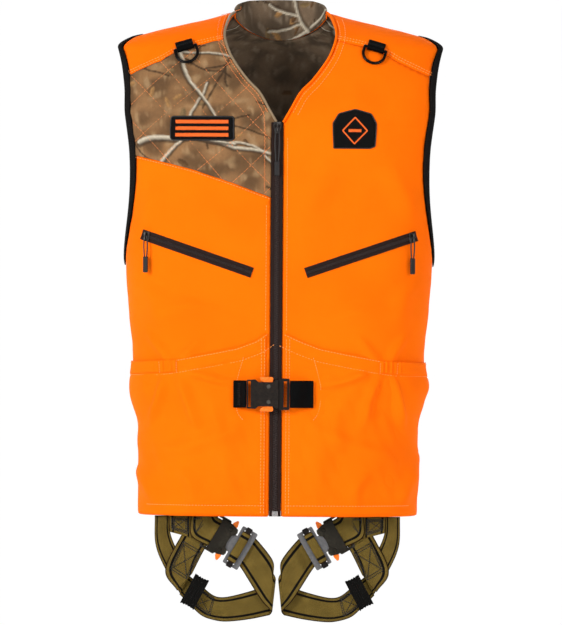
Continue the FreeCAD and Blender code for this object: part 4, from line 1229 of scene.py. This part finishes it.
# ---- zips ----
def zip_run(name, centre_line, half, height_fn, pitch, tape_material_key, slot_name, node,
            tooth=(2.3, 1.2, 1.3)):
    """Zip tapes with a row of interlocked teeth, following (x, z) points on the front."""
    centre = stepped(centre_line, 2.0)
    rings, uvs = [], []
    profile = [(-1.0, 0.1), (-0.98, 0.75), (-0.9, 0.95), (-0.5, 0.75), (-0.36, 0.6), (0, 0.4), (0.36, 0.6),
               (0.5, 0.75), (0.9, 0.95), (0.98, 0.75), (1.0, 0.1), (0.9, -0.35), (-0.9, -0.35)]
    lines = [on_front(inset(centre, share * half), height_fn, 6)[0] for share, _ in profile]
    _, normals = on_front(centre, height_fn, 6)
    run = run_along(centre)
    for i in range(len(centre)):
        rings.append([lines[k][i] + normals[i] * profile[k][1] for k in range(len(profile))])
        uvs.append([(profile[k][0] * half, run[i]) for k in range(len(profile))])
    tape = sweep(name + "_tape", rings, M[tape_material_key], uvs=uvs)
    finish_piece(tape, "vest", slot_name, node)
    teeth = evenly(centre_line, int(length_of(centre_line) / pitch) * 2)
    vertices, faces = [], []
    wide, deep, high = tooth
    for i, side in ((i, 1 if i % 2 else -1) for i in range(1, len(teeth) - 1)):
        across = inset(teeth[i - 1:i + 2], side * wide * 0.42)[1]
        at, normal = on_front([across], height_fn, 6)
        along = Vector((teeth[i + 1][0] - teeth[i - 1][0], 0,
                        teeth[i + 1][1] - teeth[i - 1][1])).normalized()
        normal = Vector(normal[0])
        cross = normal.cross(along).normalized()
        centre_point = Vector(at[0]) + normal * 0.5
        base = len(vertices)
        for rise, grow in ((0.0, 1.0), (high * 0.7, 1.0), (high, 0.6)):
            for p, q in ((-1, -0.6), (-0.5, -1), (0.5, -1), (1, -0.6), (1, 0.6), (0.5, 1), (-0.5, 1),
                         (-1, 0.6)):
                vertices.append(centre_point + cross * (p * wide * 0.55 * grow)
                                + along * (q * deep * 0.5 * grow) + normal * rise)
        for ring in range(2):
            for k in range(8):
                a, b = base + ring * 8 + k, base + ring * 8 + (k + 1) % 8
                faces.append((a, b, b + 8, a + 8))
        faces.append(tuple(base + 16 + k for k in range(8)))
        faces.append(tuple(base + k for k in range(8))[::-1])
    obj = mesh_object(name + "_teeth", [tuple(v) for v in vertices], faces, M["zip_teeth"], smooth=False)
    finish_piece(obj, "vest", slot_name)


def make_zips():
    """The front zip and the two slanted chest pocket zips."""
    M["zip_teeth"] = coated_metal("zip_teeth_moulded", srgb(60, 50, 48), srgb(150, 140, 136), 0.4,
                                  metallic=0.35)
    zip_run("main_zip", [(ZIP_X, ZIP_TOP - 0.5), (ZIP_X, HEM_Z + 0.5)], ZIP_HALF - 0.3, 0.0, 2.4,
            "zip_tape",
            "zip_tape", "main_zip_tapes", (3.2, 1.5, 1.5))
    for sign, name, node in ((-1, "pocket_zip_right", "pocket_zip_tapes"), (1, "pocket_zip_left", None)):
        line = [(sign * POCKET_OUT[0], POCKET_OUT[1]), (sign * POCKET_IN[0], POCKET_IN[1])]
        lips = lifted(shell_height, 60.0, 0.55)
        zip_run(name, line, POCKET_BAND / 2, lips, 1.5, "zip_tape", "zip_tape", node, (2.2, 0.95, 1.0))
    dress("silver", "main_zip_end_box")
    dress("slider", "main_slider", "pocket_slider_right", "pocket_slider_left")
    dress("ring", "d_ring_right", "d_ring_left")
    dress("rubber", "main_pull_tab", "pocket_pull_tab_right", "pocket_pull_tab_left")


def dress(key, *nodes):
    """Gives CAD nodes their material."""
    for node in nodes:
        dress_node(frame["nodes"][node], M[key])


def dress_node(obj, material):
    for i in range(max(1, len(obj.material_slots))):
        if obj.material_slots:
            obj.material_slots[i].material = material
        else:
            obj.data.materials.append(material)


# ---- patches, tabs and the tether loop ----
def raised_patch(name, outline, height_fn, lift, material_key, slot_name, node=None, spacing=1.8):
    """A flat stitched patch of (x, z) outline, lying on the cloth."""
    polar = front_polar(outline)
    under = lifted(height_fn, 14.0, 0.0)

    def outer(xyz, edge):
        return under(xyz, edge) + lift * smooth01(edge / 1.2 + 0.35)

    obj = cloth_panel(name, polar, spacing, lift, outer, M[material_key])
    return finish_piece(obj, "vest", slot_name, node)


def rounded_box(x0, x1, z0, z1, radius):
    points = []
    for cx, cz, start in ((x1 - radius, z1 - radius, 0), (x0 + radius, z1 - radius, 90),
                          (x0 + radius, z0 + radius, 180), (x1 - radius, z0 + radius, 270)):
        for step in range(7):
            turn = math.radians(start + step * 15)
            points.append((cx + radius * math.cos(turn), cz + radius * math.sin(turn)))
    return points


def make_patches():
    """Two plain patches with stitched borders and a simple bar and diamond pattern."""
    raised_patch("patch_right", rounded_box(-149, -61.5, -175, -141, 4.5), camo_height, 1.5, "patch",
                 "patch",
                 "chest_patches")
    left = stepped([(73, -184), (72, -150), (80, -137), (101, -131), (122, -137), (129, -150), (128, -181),
                    (122, -184), (73, -184)], 2.0)[:-1]
    raised_patch("patch_left", left, shell_height, 1.5, "patch", "patch")
    border = Stitches("stitches_patches", M["thread_patch"], "patch")

    def satin(points, height_fn, wide, pitch=0.62):
        """Satin stitch: close threads across a line."""
        line = stepped(points, pitch)
        face = lifted(height_fn, 14.0, 1.5)
        a, normals = on_front(inset(line, wide / 2), face)
        b, _ = on_front(inset(line, -wide / 2), face)
        for i in range(len(line)):
            border.thread(a[i] + normals[i] * 0.1, b[i] + normals[i] * 0.1, normals[i], 0.36)

    for z in (-149.0, -158.0, -167.0):
        satin([(-141, z), (-70, z)], camo_height, 5.4)
    satin([(101, -142), (117, -160), (101, -178), (85, -160), (101, -142)], shell_height, 2.2)
    satin([(93, -160), (109, -160)], shell_height, 4.5)
    border.make("vest")
    edging = Stitches("stitches_patch_borders", M["cord"], "patch")
    frames = ((rounded_box(-148, -62.5, -174, -142, 4), camo_height), (left, shell_height))
    for outline, height_fn in frames:
        loop = np.vstack([outline, outline[:1]])
        line = stepped(loop, 0.8)
        face = lifted(height_fn, 14.0, 1.5)
        a, normals = on_front(inset(line, 0.9), face)
        b, _ = on_front(inset(line, -0.9), face)
        for i in range(len(line)):
            edging.thread(a[i] + normals[i] * 0.05, b[i] - normals[i] * 0.5, normals[i], 0.45)
    edging.make("vest")


def joint(name):
    return next(j for j in frame["joints"] if j["name"] == name)


def make_ring_tabs():
    """Webbing folded round each D-ring's bar, with its tail sewn into the yoke seam."""
    for side, _ in SIDES:
        hinge = joint("d_ring_swing_" + side)
        centre = Vector(hinge["pos_m"]) / MM
        bar = Vector(hinge["axis"]).normalized()
        if bar.x < 0:
            bar = -bar
        _, normal = on_front([(centre.x, centre.z - 3)], 0.0)
        normal = Vector(normal[0])
        down = normal.cross(bar).normalized()
        if down.z > 0:
            down = -down
        path = [(-12.5, -4.2), (-7.0, -3.7), (-3.0, -2.6)]
        path += [(3.2 * math.sin(t), -3.2 * math.cos(t)) for t in np.linspace(0.1, math.pi - 0.1, 9)]
        path += [(-3.0, 2.6), (-7.0, 0.2), (-12.5, -1.6)]
        left = [centre + down * q + normal * w - bar * 12 for q, w in path]
        right = [centre + down * q + normal * w + bar * 12 for q, w in path]
        left, right = np.array(left), np.array(right)
        tangent = np.gradient((left + right) / 2, axis=0)
        outward = np.cross(np.array(bar)[None], tangent)
        middle = len(path) // 2
        if outward[middle] @ np.array(down) < 0:
            outward = -outward
        obj = strap("ring_tab_" + side, left, right, outward, 1.3, M["black_web"], across=12, step=0.9)
        finish_piece(obj, "vest", "black_webbing", "d_ring_tabs" if side == "right" else None)


def make_tether_loop():
    """The sewn loop for the tether, between the shoulder blades."""
    path = [(119, -98), (124, -104), (131, -113), (133.6, -122), (133.6, -138), (131, -147), (124, -156),
            (119, -162)]
    half = WEB_WIDTH / 2
    left = np.array([(half, y, z) for y, z in path], float)
    right = np.array([(-half, y, z) for y, z in path], float)
    tangent = np.gradient(left, axis=0)
    outward = np.cross(tangent, np.array([[1.0, 0, 0]]))
    if outward[4][1] < 0:
        outward = -outward
    obj = strap("tether_loop", left, right, outward, 2.6, M["black_web"], step=2.0)
    finish_piece(obj, "vest", "black_webbing", "dorsal_tether_loop")
    tack = Stitches("stitches_tether_loop", M["thread_dark"], "black_webbing")
    for z0, z1 in ((-100, -112), (-148, -160)):
        corners = [(-18, z0), (18, z0), (18, z1), (-18, z1), (-18, z0), (18, z1)]
        line = stepped(corners, 2.0)
        y = np.interp(line[:, 1], [p[1] for p in path][::-1], [p[0] for p in path][::-1])
        points = np.stack([line[:, 0], y + 1.5, line[:, 1]], -1)
        tack.line(points, (0, 1.0, 0.2), 3.4)
    tack.make("vest")


def make_harness():
    """Webbing between shell and lining: two shoulder straps over front and back, and the waist belt."""
    strap_x, strap_depth = 140.0, -3.6
    belt_low, belt_high, belt_depth = -539.0, -503.0, -5.2
    thickness = 1.1
    for side, sign in SIDES:
        edges = []
        for x in (sign * (strap_x - WEB_WIDTH / 2), sign * (strap_x + WEB_WIDTH / 2)):
            line = []
            for z in np.arange(-682, -36, 8.0):
                line.append(place(phi_front(x, z), z, strap_depth))
            crest = float(np.interp(-abs(x), -HALVES[-100:], HEIGHTS[-100:]))
            line.append(place(phi_front(x, crest - 3), crest - 3, strap_depth))
            back = [np.array((p[0], -p[1], p[2])) for p in line[::-1]]
            edges.append(np.vstack([line, back]))
        middle = (edges[0] + edges[1]) / 2
        outward = middle - np.array([sign * 120, 0, -200.0])
        outward[:, 2] *= smooth01((middle[:, 2] + 90) / 60)
        outward[:, 0] *= 0.1
        obj = strap("harness_strap_" + side, edges[0], edges[1], outward, thickness, M["dark_web"],
                    across=8, step=8.0)
        finish_piece(obj, "vest", "dark_webbing", "harness_shoulder_straps" if side == "right" else None)
    turns = np.linspace(-math.pi / 2 + 0.35, 1.5 * math.pi - 0.38, 150)
    low = place(turns, np.full(len(turns), belt_low), belt_depth)
    high = place(turns, np.full(len(turns), belt_high), belt_depth)
    outward = np.stack([np.cos(turns), np.sin(turns), np.zeros(len(turns))], -1)
    obj = strap("harness_belt", low, high, outward, thickness, M["dark_web"], across=8, step=6.0)
    finish_piece(obj, "vest", "dark_webbing", "harness_waist_belt")


# ---- the waist buckle and its webbing ----
def make_waist():
    dress("buckle", "waist_buckle_back_plate", "waist_buckle_front_plate", "waist_buckle_tongue")
    dress("rivet", "waist_buckle_rivets", "waist_buckle_springs")
    dress("lever", "waist_pawl_upper", "waist_pawl_lower")
    low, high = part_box("waist_webbing_right")
    z0, z1 = low.z / MM + 0.4, high.z / MM - 0.4
    paths = {
        "right": [(-61, -121.6), (-57, -122.4), (-50.5, -128.2), (-46, -131.4), (-43.4, -131.6)],
        "left": [(48, -121.6), (42.5, -122.4), (31, -128.4), (21.5, -131.3), (16.0, -131.6)]}
    for side, path in paths.items():
        bottom = np.array([(x, y, z0) for x, y in path])
        top = np.array([(x, y, z1) for x, y in path])
        tangent = np.gradient(bottom, axis=0)
        outward = np.cross(tangent, np.array([[0, 0, 1.0]]))
        outward[outward[:, 1] > 0] *= -1
        obj = strap("waist_web_" + side, bottom, top, outward, 1.9, M["black_web"], across=22, step=1.2,
                    wave=lambda run, share: 0.35 * math.sin(run * 9 + share * 3))
        if side == "right":
            finish_piece(obj, "vest", "black_webbing", "waist_webbing_right")
        else:
            finish_piece(obj, None, "black_webbing", "waist_webbing_left")
            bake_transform(obj)
    tack = Stitches("stitches_waist_webbing", M["thread_dark"], "black_webbing")
    for x, y in ((-54.5, -126.0), (-52.5, -127.8)):
        points = np.array([(x, y, z) for z in np.linspace(z0 + 3, z1 - 3, 20)])
        tack.line(points, (-0.5, -1, 0), 3.0)
    tack.make("vest")


# ---- leg loops ----
LEG_TILT = math.radians(30.0)
LEG_AT = (-71.0, -721.0)
LEG_WEB = 2.3                # thickness of the leg webbing
# depth of its layers, from the front
FRONT_STRAP_Y, FOLD_Y, HIP_Y, RISER_Y, THIGH_Y = -76.5, -75.2, -72.3, -69.1, -66.1
TOP_Z = HEM_Z - 0.8


def leg_local(u, v):
    """(x, z) of a point in the right leg buckle's own frame."""
    return (LEG_AT[0] + u * math.cos(LEG_TILT) + v * math.sin(LEG_TILT),
            LEG_AT[1] - u * math.sin(LEG_TILT) + v * math.cos(LEG_TILT))


def flat_strap(name, left, right, y, sign, bulge=1.2, wave=None, thickness=LEG_WEB):
    """An olive webbing strap between two (x, z) edge lines of the right leg. Sign 1 mirrors it."""
    count = max(8, int(max(length_of(left), length_of(right)) / 2.5))
    a, b = catmull(left, count), catmull(right, count)
    depth = y(np.linspace(0, 1, count)) if callable(y) else np.full(count, float(y))
    a3 = np.stack([a[:, 0] * -sign, depth, a[:, 1]], -1)
    b3 = np.stack([b[:, 0] * -sign, depth, b[:, 1]], -1)
    return strap(name, a3, b3, np.array([0, -1.0, 0]), thickness, M["olive_web"], across=20, step=2.5,
                 bulge=bulge, wave=wave)


def box_cross(stitches, corners, y, sign, rows=2):
    """Dark box stitching with a cross, on a flat strap. corners are four (x, z) points in order."""
    pts = np.array(corners, float)
    centre = pts.mean(0)
    lines = []
    for row in range(rows):
        ring = centre + (pts - centre) * (1 - 0.16 * row)
        lines.append(np.vstack([ring, ring[:1]]))
    lines += [np.array([pts[0], pts[2]]), np.array([pts[1], pts[3]])]
    for line in lines:
        at = stepped(line, 2.0)
        points = np.stack([at[:, 0] * -sign, np.full(len(at), y), at[:, 1]], -1)
        stitches.line(points, (0, -1.0, 0), 3.0, fill=0.85, radius=0.62)


def make_leg(side):
    """One leg loop: straps, keeper and stitching. It is drawn on the right and mirrored for the left."""
    leg = "leg_loop_" + side
    flip_x = -1 if side == "right" else 1
    hip = flat_strap("leg_hip_strap_" + side, [(-149.5, TOP_Z), (-148, -711)],
                     [(-117.0, TOP_Z), (-117.0, -719)], HIP_Y, flip_x, bulge=0.4)
    fold = flat_strap("leg_hip_fold_" + side, [(-85.0, TOP_Z), leg_local(-15.8, 21.0)],
                      [(-118.6, TOP_Z), (-118.4, -716), leg_local(-15.8, -20.0)], FOLD_Y, flip_x, bulge=1.6,
                      wave=lambda run, share: 0.9 * math.exp(-((share - 0.42) / 0.12) ** 2)
                      - 0.5 * math.exp(-((share - 0.62) / 0.1) ** 2))
    riser = flat_strap("leg_riser_" + side, [(-168.5, TOP_Z), (-167.3, -728), (-154.6, -760.3),
                                             (-133.0, -796.0)],
                       [(-148.0, TOP_Z), (-147.0, -712), (-137.5, -736), (-118, -768)], RISER_Y, flip_x,
                       bulge=1.0)
    cross = flat_strap("leg_cross_strap_" + side, [(-127, -706), (-153.5, -762), (-137, -792)],
                       [(-92.5, -723.5), (-102.5, -740), (-116.6, -768.4)],
                       lambda share: -69.9 - 2.4 * smooth01((share - 0.1) / 0.2), flip_x, bulge=0.6)
    for obj in (hip, fold, riser):
        finish_piece(obj, None, "olive_webbing", "leg_riser_straps_" + side if obj is hip else None)
        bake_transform(obj)
    finish_piece(cross, leg, "olive_webbing")
    low_left = [(-121, -771), (-100.4, -788), (-88.9, -797.2), (-77.4, -800.7), (-60, -798.4),
                (-31.2, -790.3), (-4.8, -780)]
    low_right = [(-134, -797), (-115.4, -815.7), (-101.6, -827.2), (-83.1, -833), (-65.8, -834.1),
                 (-37, -830.7), (-9.8, -825)]
    thigh = flat_strap("leg_thigh_strap_" + side, low_left, low_right, THIGH_Y, flip_x, bulge=1.0)
    finish_piece(thigh, leg, "olive_webbing", "leg_thigh_strap_" + side)
    front = flat_strap("leg_front_strap_" + side,
                       [leg_local(22, 21.5), leg_local(36, 21.8), (-6.2, -748.8), (-4.6, -768)],
                       [leg_local(22, -21.5), leg_local(36, -22.5), (-23, -802), (-9.6, -817)],
                       lambda share: FRONT_STRAP_Y + 5.0 * smooth01((0.42 - share) / 0.2)
                       - 4.6 * np.exp(-(share / 0.035) ** 2), flip_x, bulge=0.5)
    finish_piece(front, None, "olive_webbing", "leg_front_strap_" + side)
    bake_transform(front)
    turn = np.linspace(0, math.pi, 12)
    edge = []
    for t in turn:
        out = 2.6 * math.sin(t)
        edge.append(((-5.0 + out, -71.4 - 5.2 * math.cos(t), -767.5 - 12.5 * t / math.pi),
                     (-10.0 + out, -71.4 - 5.2 * math.cos(t), -817 - 8 * t / math.pi)))
    left = np.array([(x * -flip_x, y, z) for (x, y, z), _ in edge])
    right = np.array([(x * -flip_x, y, z) for _, (x, y, z) in edge])
    outward = np.stack([-flip_x * np.sin(turn), -np.cos(turn), np.zeros(12)], -1)
    bend = strap("leg_strap_turn_" + side, left, right, outward, LEG_WEB, M["olive_web"], across=20,
                 step=1.2)
    finish_piece(bend, leg, "olive_webbing")
    make_keeper(side, flip_x, leg)
    tack = Stitches("stitches_leg_" + side, M["thread_dark"], "olive_webbing")
    box_cross(tack, [leg_local(-40, 14), leg_local(-40, -12), (-116, -693), (-95, -693)], -77.6, flip_x,
              rows=1)
    box_cross(tack, [(-129, -724), (-105, -738), (-124, -776), (-146, -762)], -74.4, flip_x)
    box_cross(tack, [(-145, -692), (-122, -692), (-122, -714), (-145, -707)], -73.9, flip_x, rows=3)
    box_cross(tack, [(-113, -786), (-86, -802), (-92, -826), (-112, -812)], -68.2, flip_x)
    tack.make(leg)
    dress("gunmetal", "leg_buckle_housing_" + side)
    dress("frame", "leg_buckle_tongue_" + side)
    dress("buckle", "leg_adjuster_bar_" + side)
    dress("lever", "leg_pawl_upper_" + side, "leg_pawl_lower_" + side)
    make_wrap(side, flip_x)


def make_wrap(side, flip_x):
    """Webbing round the adjuster bar, inside the buckle frame's window."""
    half = 23.0
    turns = np.linspace(0, 2 * math.pi, 22, endpoint=False)
    profile = [(6.2 * math.cos(t), 2.4 * math.sin(t)) for t in turns]
    rings, uvs = [], []
    for share in np.linspace(0, 1, 40):
        v = -half + 2 * half * share
        ring, plan = [], []
        for k, (p, q) in enumerate(profile):
            pinch = 1 - 0.12 * abs(2 * share - 1) ** 6
            x, z = leg_local(21.4 + p * pinch, v)
            ring.append((-flip_x * x, -79.95 + q * pinch, z))
            plan.append((share * WEB_WIDTH, k * 1.2))
        rings.append(ring[::flip_x])
        uvs.append(plan[::flip_x])
    obj = sweep("leg_adjuster_wrap_" + side, rings, M["olive_web"], uvs=uvs)
    finish_piece(obj, "leg_adjuster_" + side, "olive_webbing")


def make_keeper(side, flip_x, leg):
    """The crinkled elastic keeper round the crossing straps."""
    rng = random.Random(9)
    tilt = math.radians(28.0)
    rings, uvs = [], []
    count, wide = 90, 30
    loop = []
    for t in np.linspace(0, 2 * math.pi, count, endpoint=False):
        c, s = math.cos(t), math.sin(t)
        loop.append((8.4 * math.copysign(abs(s) ** 0.35, s), 22.4 * math.copysign(abs(c) ** 0.6, c)))
    phases = [rng.uniform(0, 6) for _ in range(4)]
    for share in np.linspace(0, 1, wide):
        along = -10.5 + 21 * share
        ring, plan = [], []
        for k, (depth, across) in enumerate(loop):
            crinkle = (math.sin(share * math.pi * 7 + phases[1]) * 0.5
                       * math.sin(k * 0.9 + phases[0] + share * 3))
            crinkle += 0.45 * math.sin(share * math.pi * 11 + phases[2] + 0.8 * math.sin(k * 0.5))
            grow = 1 + 0.05 * crinkle
            u, v, y = along, across * grow * (1 - 0.05 * math.sin(math.pi * share)), -71.3 + depth * grow
            x = -113 + u * math.cos(tilt) + v * math.sin(tilt)
            z = -793 - u * math.sin(tilt) + v * math.cos(tilt)
            ring.append((-flip_x * x, y, z))
            plan.append((k * 1.1, share * 21))
        rings.append(ring[::flip_x])
        uvs.append(plan[::flip_x])
    inner = []
    for ring in reversed(rings):
        mid = np.mean(ring, axis=0)
        inner.append([tuple(mid + (np.array(p) - mid) * 0.93) for p in ring])
    obj = sweep("leg_keeper_" + side, rings + inner, M["elastic"], closed_path=True, uvs=uvs + uvs[::-1])
    finish_piece(obj, leg, "black_elastic", "leg_strap_keeper_" + side)


# ---- the zip pulls' cords ----
CORD_DIAMETER = 1.8
MAIN_EYE = (ZIP_X, FRONT_Y - 4.7, -156.5)
MAIN_CORD, POCKET_CORD = 46.0, 28.0


def pull_points(length):
    """Control points of a doubled cord, from the tab up through the slider's eye and back."""
    one_side = [(-1.7, -length), (-2.7, -length * 0.72), (-3.0, -length * 0.44), (-2.6, -length * 0.19),
                (-2.2, 0)]
    return one_side + [(-x, z) for x, z in reversed(one_side)]


def make_cord(name, points, body, node):
    curve = bpy.data.curves.new(name, "CURVE")
    curve.dimensions = "3D"
    curve.bevel_depth = CORD_DIAMETER / 2 * MM
    curve.bevel_resolution = 4
    curve.use_fill_caps = True
    spline = curve.splines.new("NURBS")
    spline.points.add(len(points) - 1)
    for control, p in zip(spline.points, points):
        control.co = (p[0] * MM, p[1] * MM, p[2] * MM, 1.0)
    spline.order_u = 3
    spline.use_endpoint_u = True
    spline.resolution_u = 12
    curve.materials.append(M["cord"])
    obj = bpy.data.objects.new(name, curve)
    bpy.context.scene.collection.objects.link(obj)
    finish_piece(obj, body, "pull_cord", node)
    tuple(c * MM for c in points[0])


def make_pulls():
    eye = MAIN_EYE
    points = [(eye[0] + x, eye[1], eye[2] + z) for x, z in pull_points(MAIN_CORD)]
    make_cord("pull_cord_main", points, "main_pull", "main_pull_cord")
    for side, sign in SIDES:
        hinge = joint("pocket_pull_swing_" + side)
        eye = [c / MM for c in hinge["pos_m"]]
        flat = Vector((abs(hinge["axis"][0]), sign * abs(hinge["axis"][1]), 0)).normalized()
        points = [(eye[0] + flat.x * x, eye[1] + flat.y * x, eye[2] + z)
                  for x, z in pull_points(POCKET_CORD)]
        make_cord("pull_cord_pocket_" + side, points, "pocket_pull_" + side, "pocket_pull_cord_" + side)


# ---- stage, lights and camera ----
def plain_material(name, colour, roughness):
    made = bpy.data.materials.new(name)
    made.use_nodes = True
    surface = next(n for n in made.node_tree.nodes if n.type == "BSDF_PRINCIPLED")
    surface.inputs["Base Color"].default_value = (*colour, 1)
    surface.inputs["Roughness"].default_value = roughness
    return made


def make_stage():
    """A pale floor and wall that only light the vest, and a far white shell that only the camera sees."""
    floor_z, wall_y = -870.0, 2400.0
    profile = [(-9000, floor_z)] + [(wall_y - 500 + 500 * math.sin(t), floor_z + 500 - 500 * math.cos(t))
                                     for t in np.linspace(0, math.pi / 2, 14)] + [(wall_y, 4000)]
    vertices = [(x, y, z) for x in (-7000, 7000) for y, z in profile]
    count = len(profile)
    faces = [(i, i + count, i + count + 1, i + 1) for i in range(count - 1)]
    pale = plain_material("pale_floor", (0.93, 0.93, 0.93), 0.9)
    floor = mesh_object("studio_floor", vertices, faces, pale)
    floor.visible_camera = False
    reach = 20000.0
    corners = [(x, y, z) for x in (-reach, reach) for y in (-reach, reach) for z in (-reach, reach)]
    sides = [(0, 1, 3, 2), (4, 6, 7, 5), (0, 4, 5, 1), (2, 3, 7, 6), (0, 2, 6, 4), (1, 5, 7, 3)]
    white = plain_material("white_surround", (0, 0, 0), 1.0)
    surface = next(n for n in white.node_tree.nodes if n.type == "BSDF_PRINCIPLED")
    surface.inputs["Emission Color"].default_value = (1, 1, 1, 1)
    surface.inputs["Emission Strength"].default_value = 1.0
    surround = mesh_object("studio_surround", corners, sides, white)
    for ray in ("diffuse", "glossy", "transmission", "volume_scatter", "shadow"):
        setattr(surround, "visible_" + ray, False)


MIDDLE = (0, 0, -0.4)       # the middle of the vest, in metres


def area_light(name, position, target, size, power):
    data = bpy.data.lights.new(name, "AREA")
    data.shape, data.size, data.size_y, data.energy = "RECTANGLE", size[0], size[1], power
    lamp = bpy.data.objects.new(name, data)
    lamp.location = position
    lamp.rotation_euler = (Vector(target) - Vector(position)).to_track_quat("-Z", "Y").to_euler()
    bpy.context.scene.collection.objects.link(lamp)


LIGHTS = [   # name, place, what it points at, size and power, in metres and watts
    ("key", (-2.7, -2.9, 0.7), MIDDLE, (1.1, 1.1), 118),
    ("fill", (2.2, -3.4, 0.1), MIDDLE, (2.2, 2.2), 62),
    ("top", (0, -0.6, 2.6), MIDDLE, (2.4, 1.6), 9),
    ("low", (0, -2.6, -1.6), (0, 0, -0.6), (2.4, 0.8), 14),
    ("back", (0, 2.2, 0.9), MIDDLE, (2.4, 1.6), 24),
    ("wall", (0, 0.9, 1.0), (0, 2.4, -0.5), (4.0, 2.0), 60)]
WORLD_LIGHT = 0.32


def make_lights():
    for light in LIGHTS:
        area_light(*light)
    world = bpy.data.worlds.new("studio")
    world.use_nodes = True
    sky = world.node_tree.nodes["Background"]
    sky.inputs[0].default_value = (1, 1, 1, 1)
    sky.inputs[1].default_value = WORLD_LIGHT
    bpy.context.scene.world = world
    bpy.context.scene.view_settings.view_transform = "Standard"


CAMERA_DISTANCE, PLANE_Y, VIEW_HEIGHT = 8.0, -0.09, 0.85625
SENSOR = 36.0


def make_camera():
    """Level, straight on from far away, and turned very slightly in the picture, as in the photograph."""
    data = bpy.data.cameras.new("camera")
    data.sensor_width = SENSOR
    data.lens = SENSOR * CAMERA_DISTANCE / VIEW_HEIGHT
    data.clip_end = 60
    camera = bpy.data.objects.new("camera", data)
    camera.location = (0.0031, PLANE_Y - CAMERA_DISTANCE, -0.409)
    camera.rotation_euler = (math.radians(90), math.radians(-0.374), 0)
    bpy.context.scene.collection.objects.link(camera)
    bpy.context.scene.camera = camera


make_camera()
make_stage()
make_lights()
make_pulls()
make_shell()
make_loop_bands()
make_lining()
make_collar()
make_neck_piping()
make_bindings()
make_seams()
make_zips()
make_patches()
make_ring_tabs()
make_tether_loop()
make_harness()
make_waist()
for leg_side in ("right", "left"):
    make_leg(leg_side)
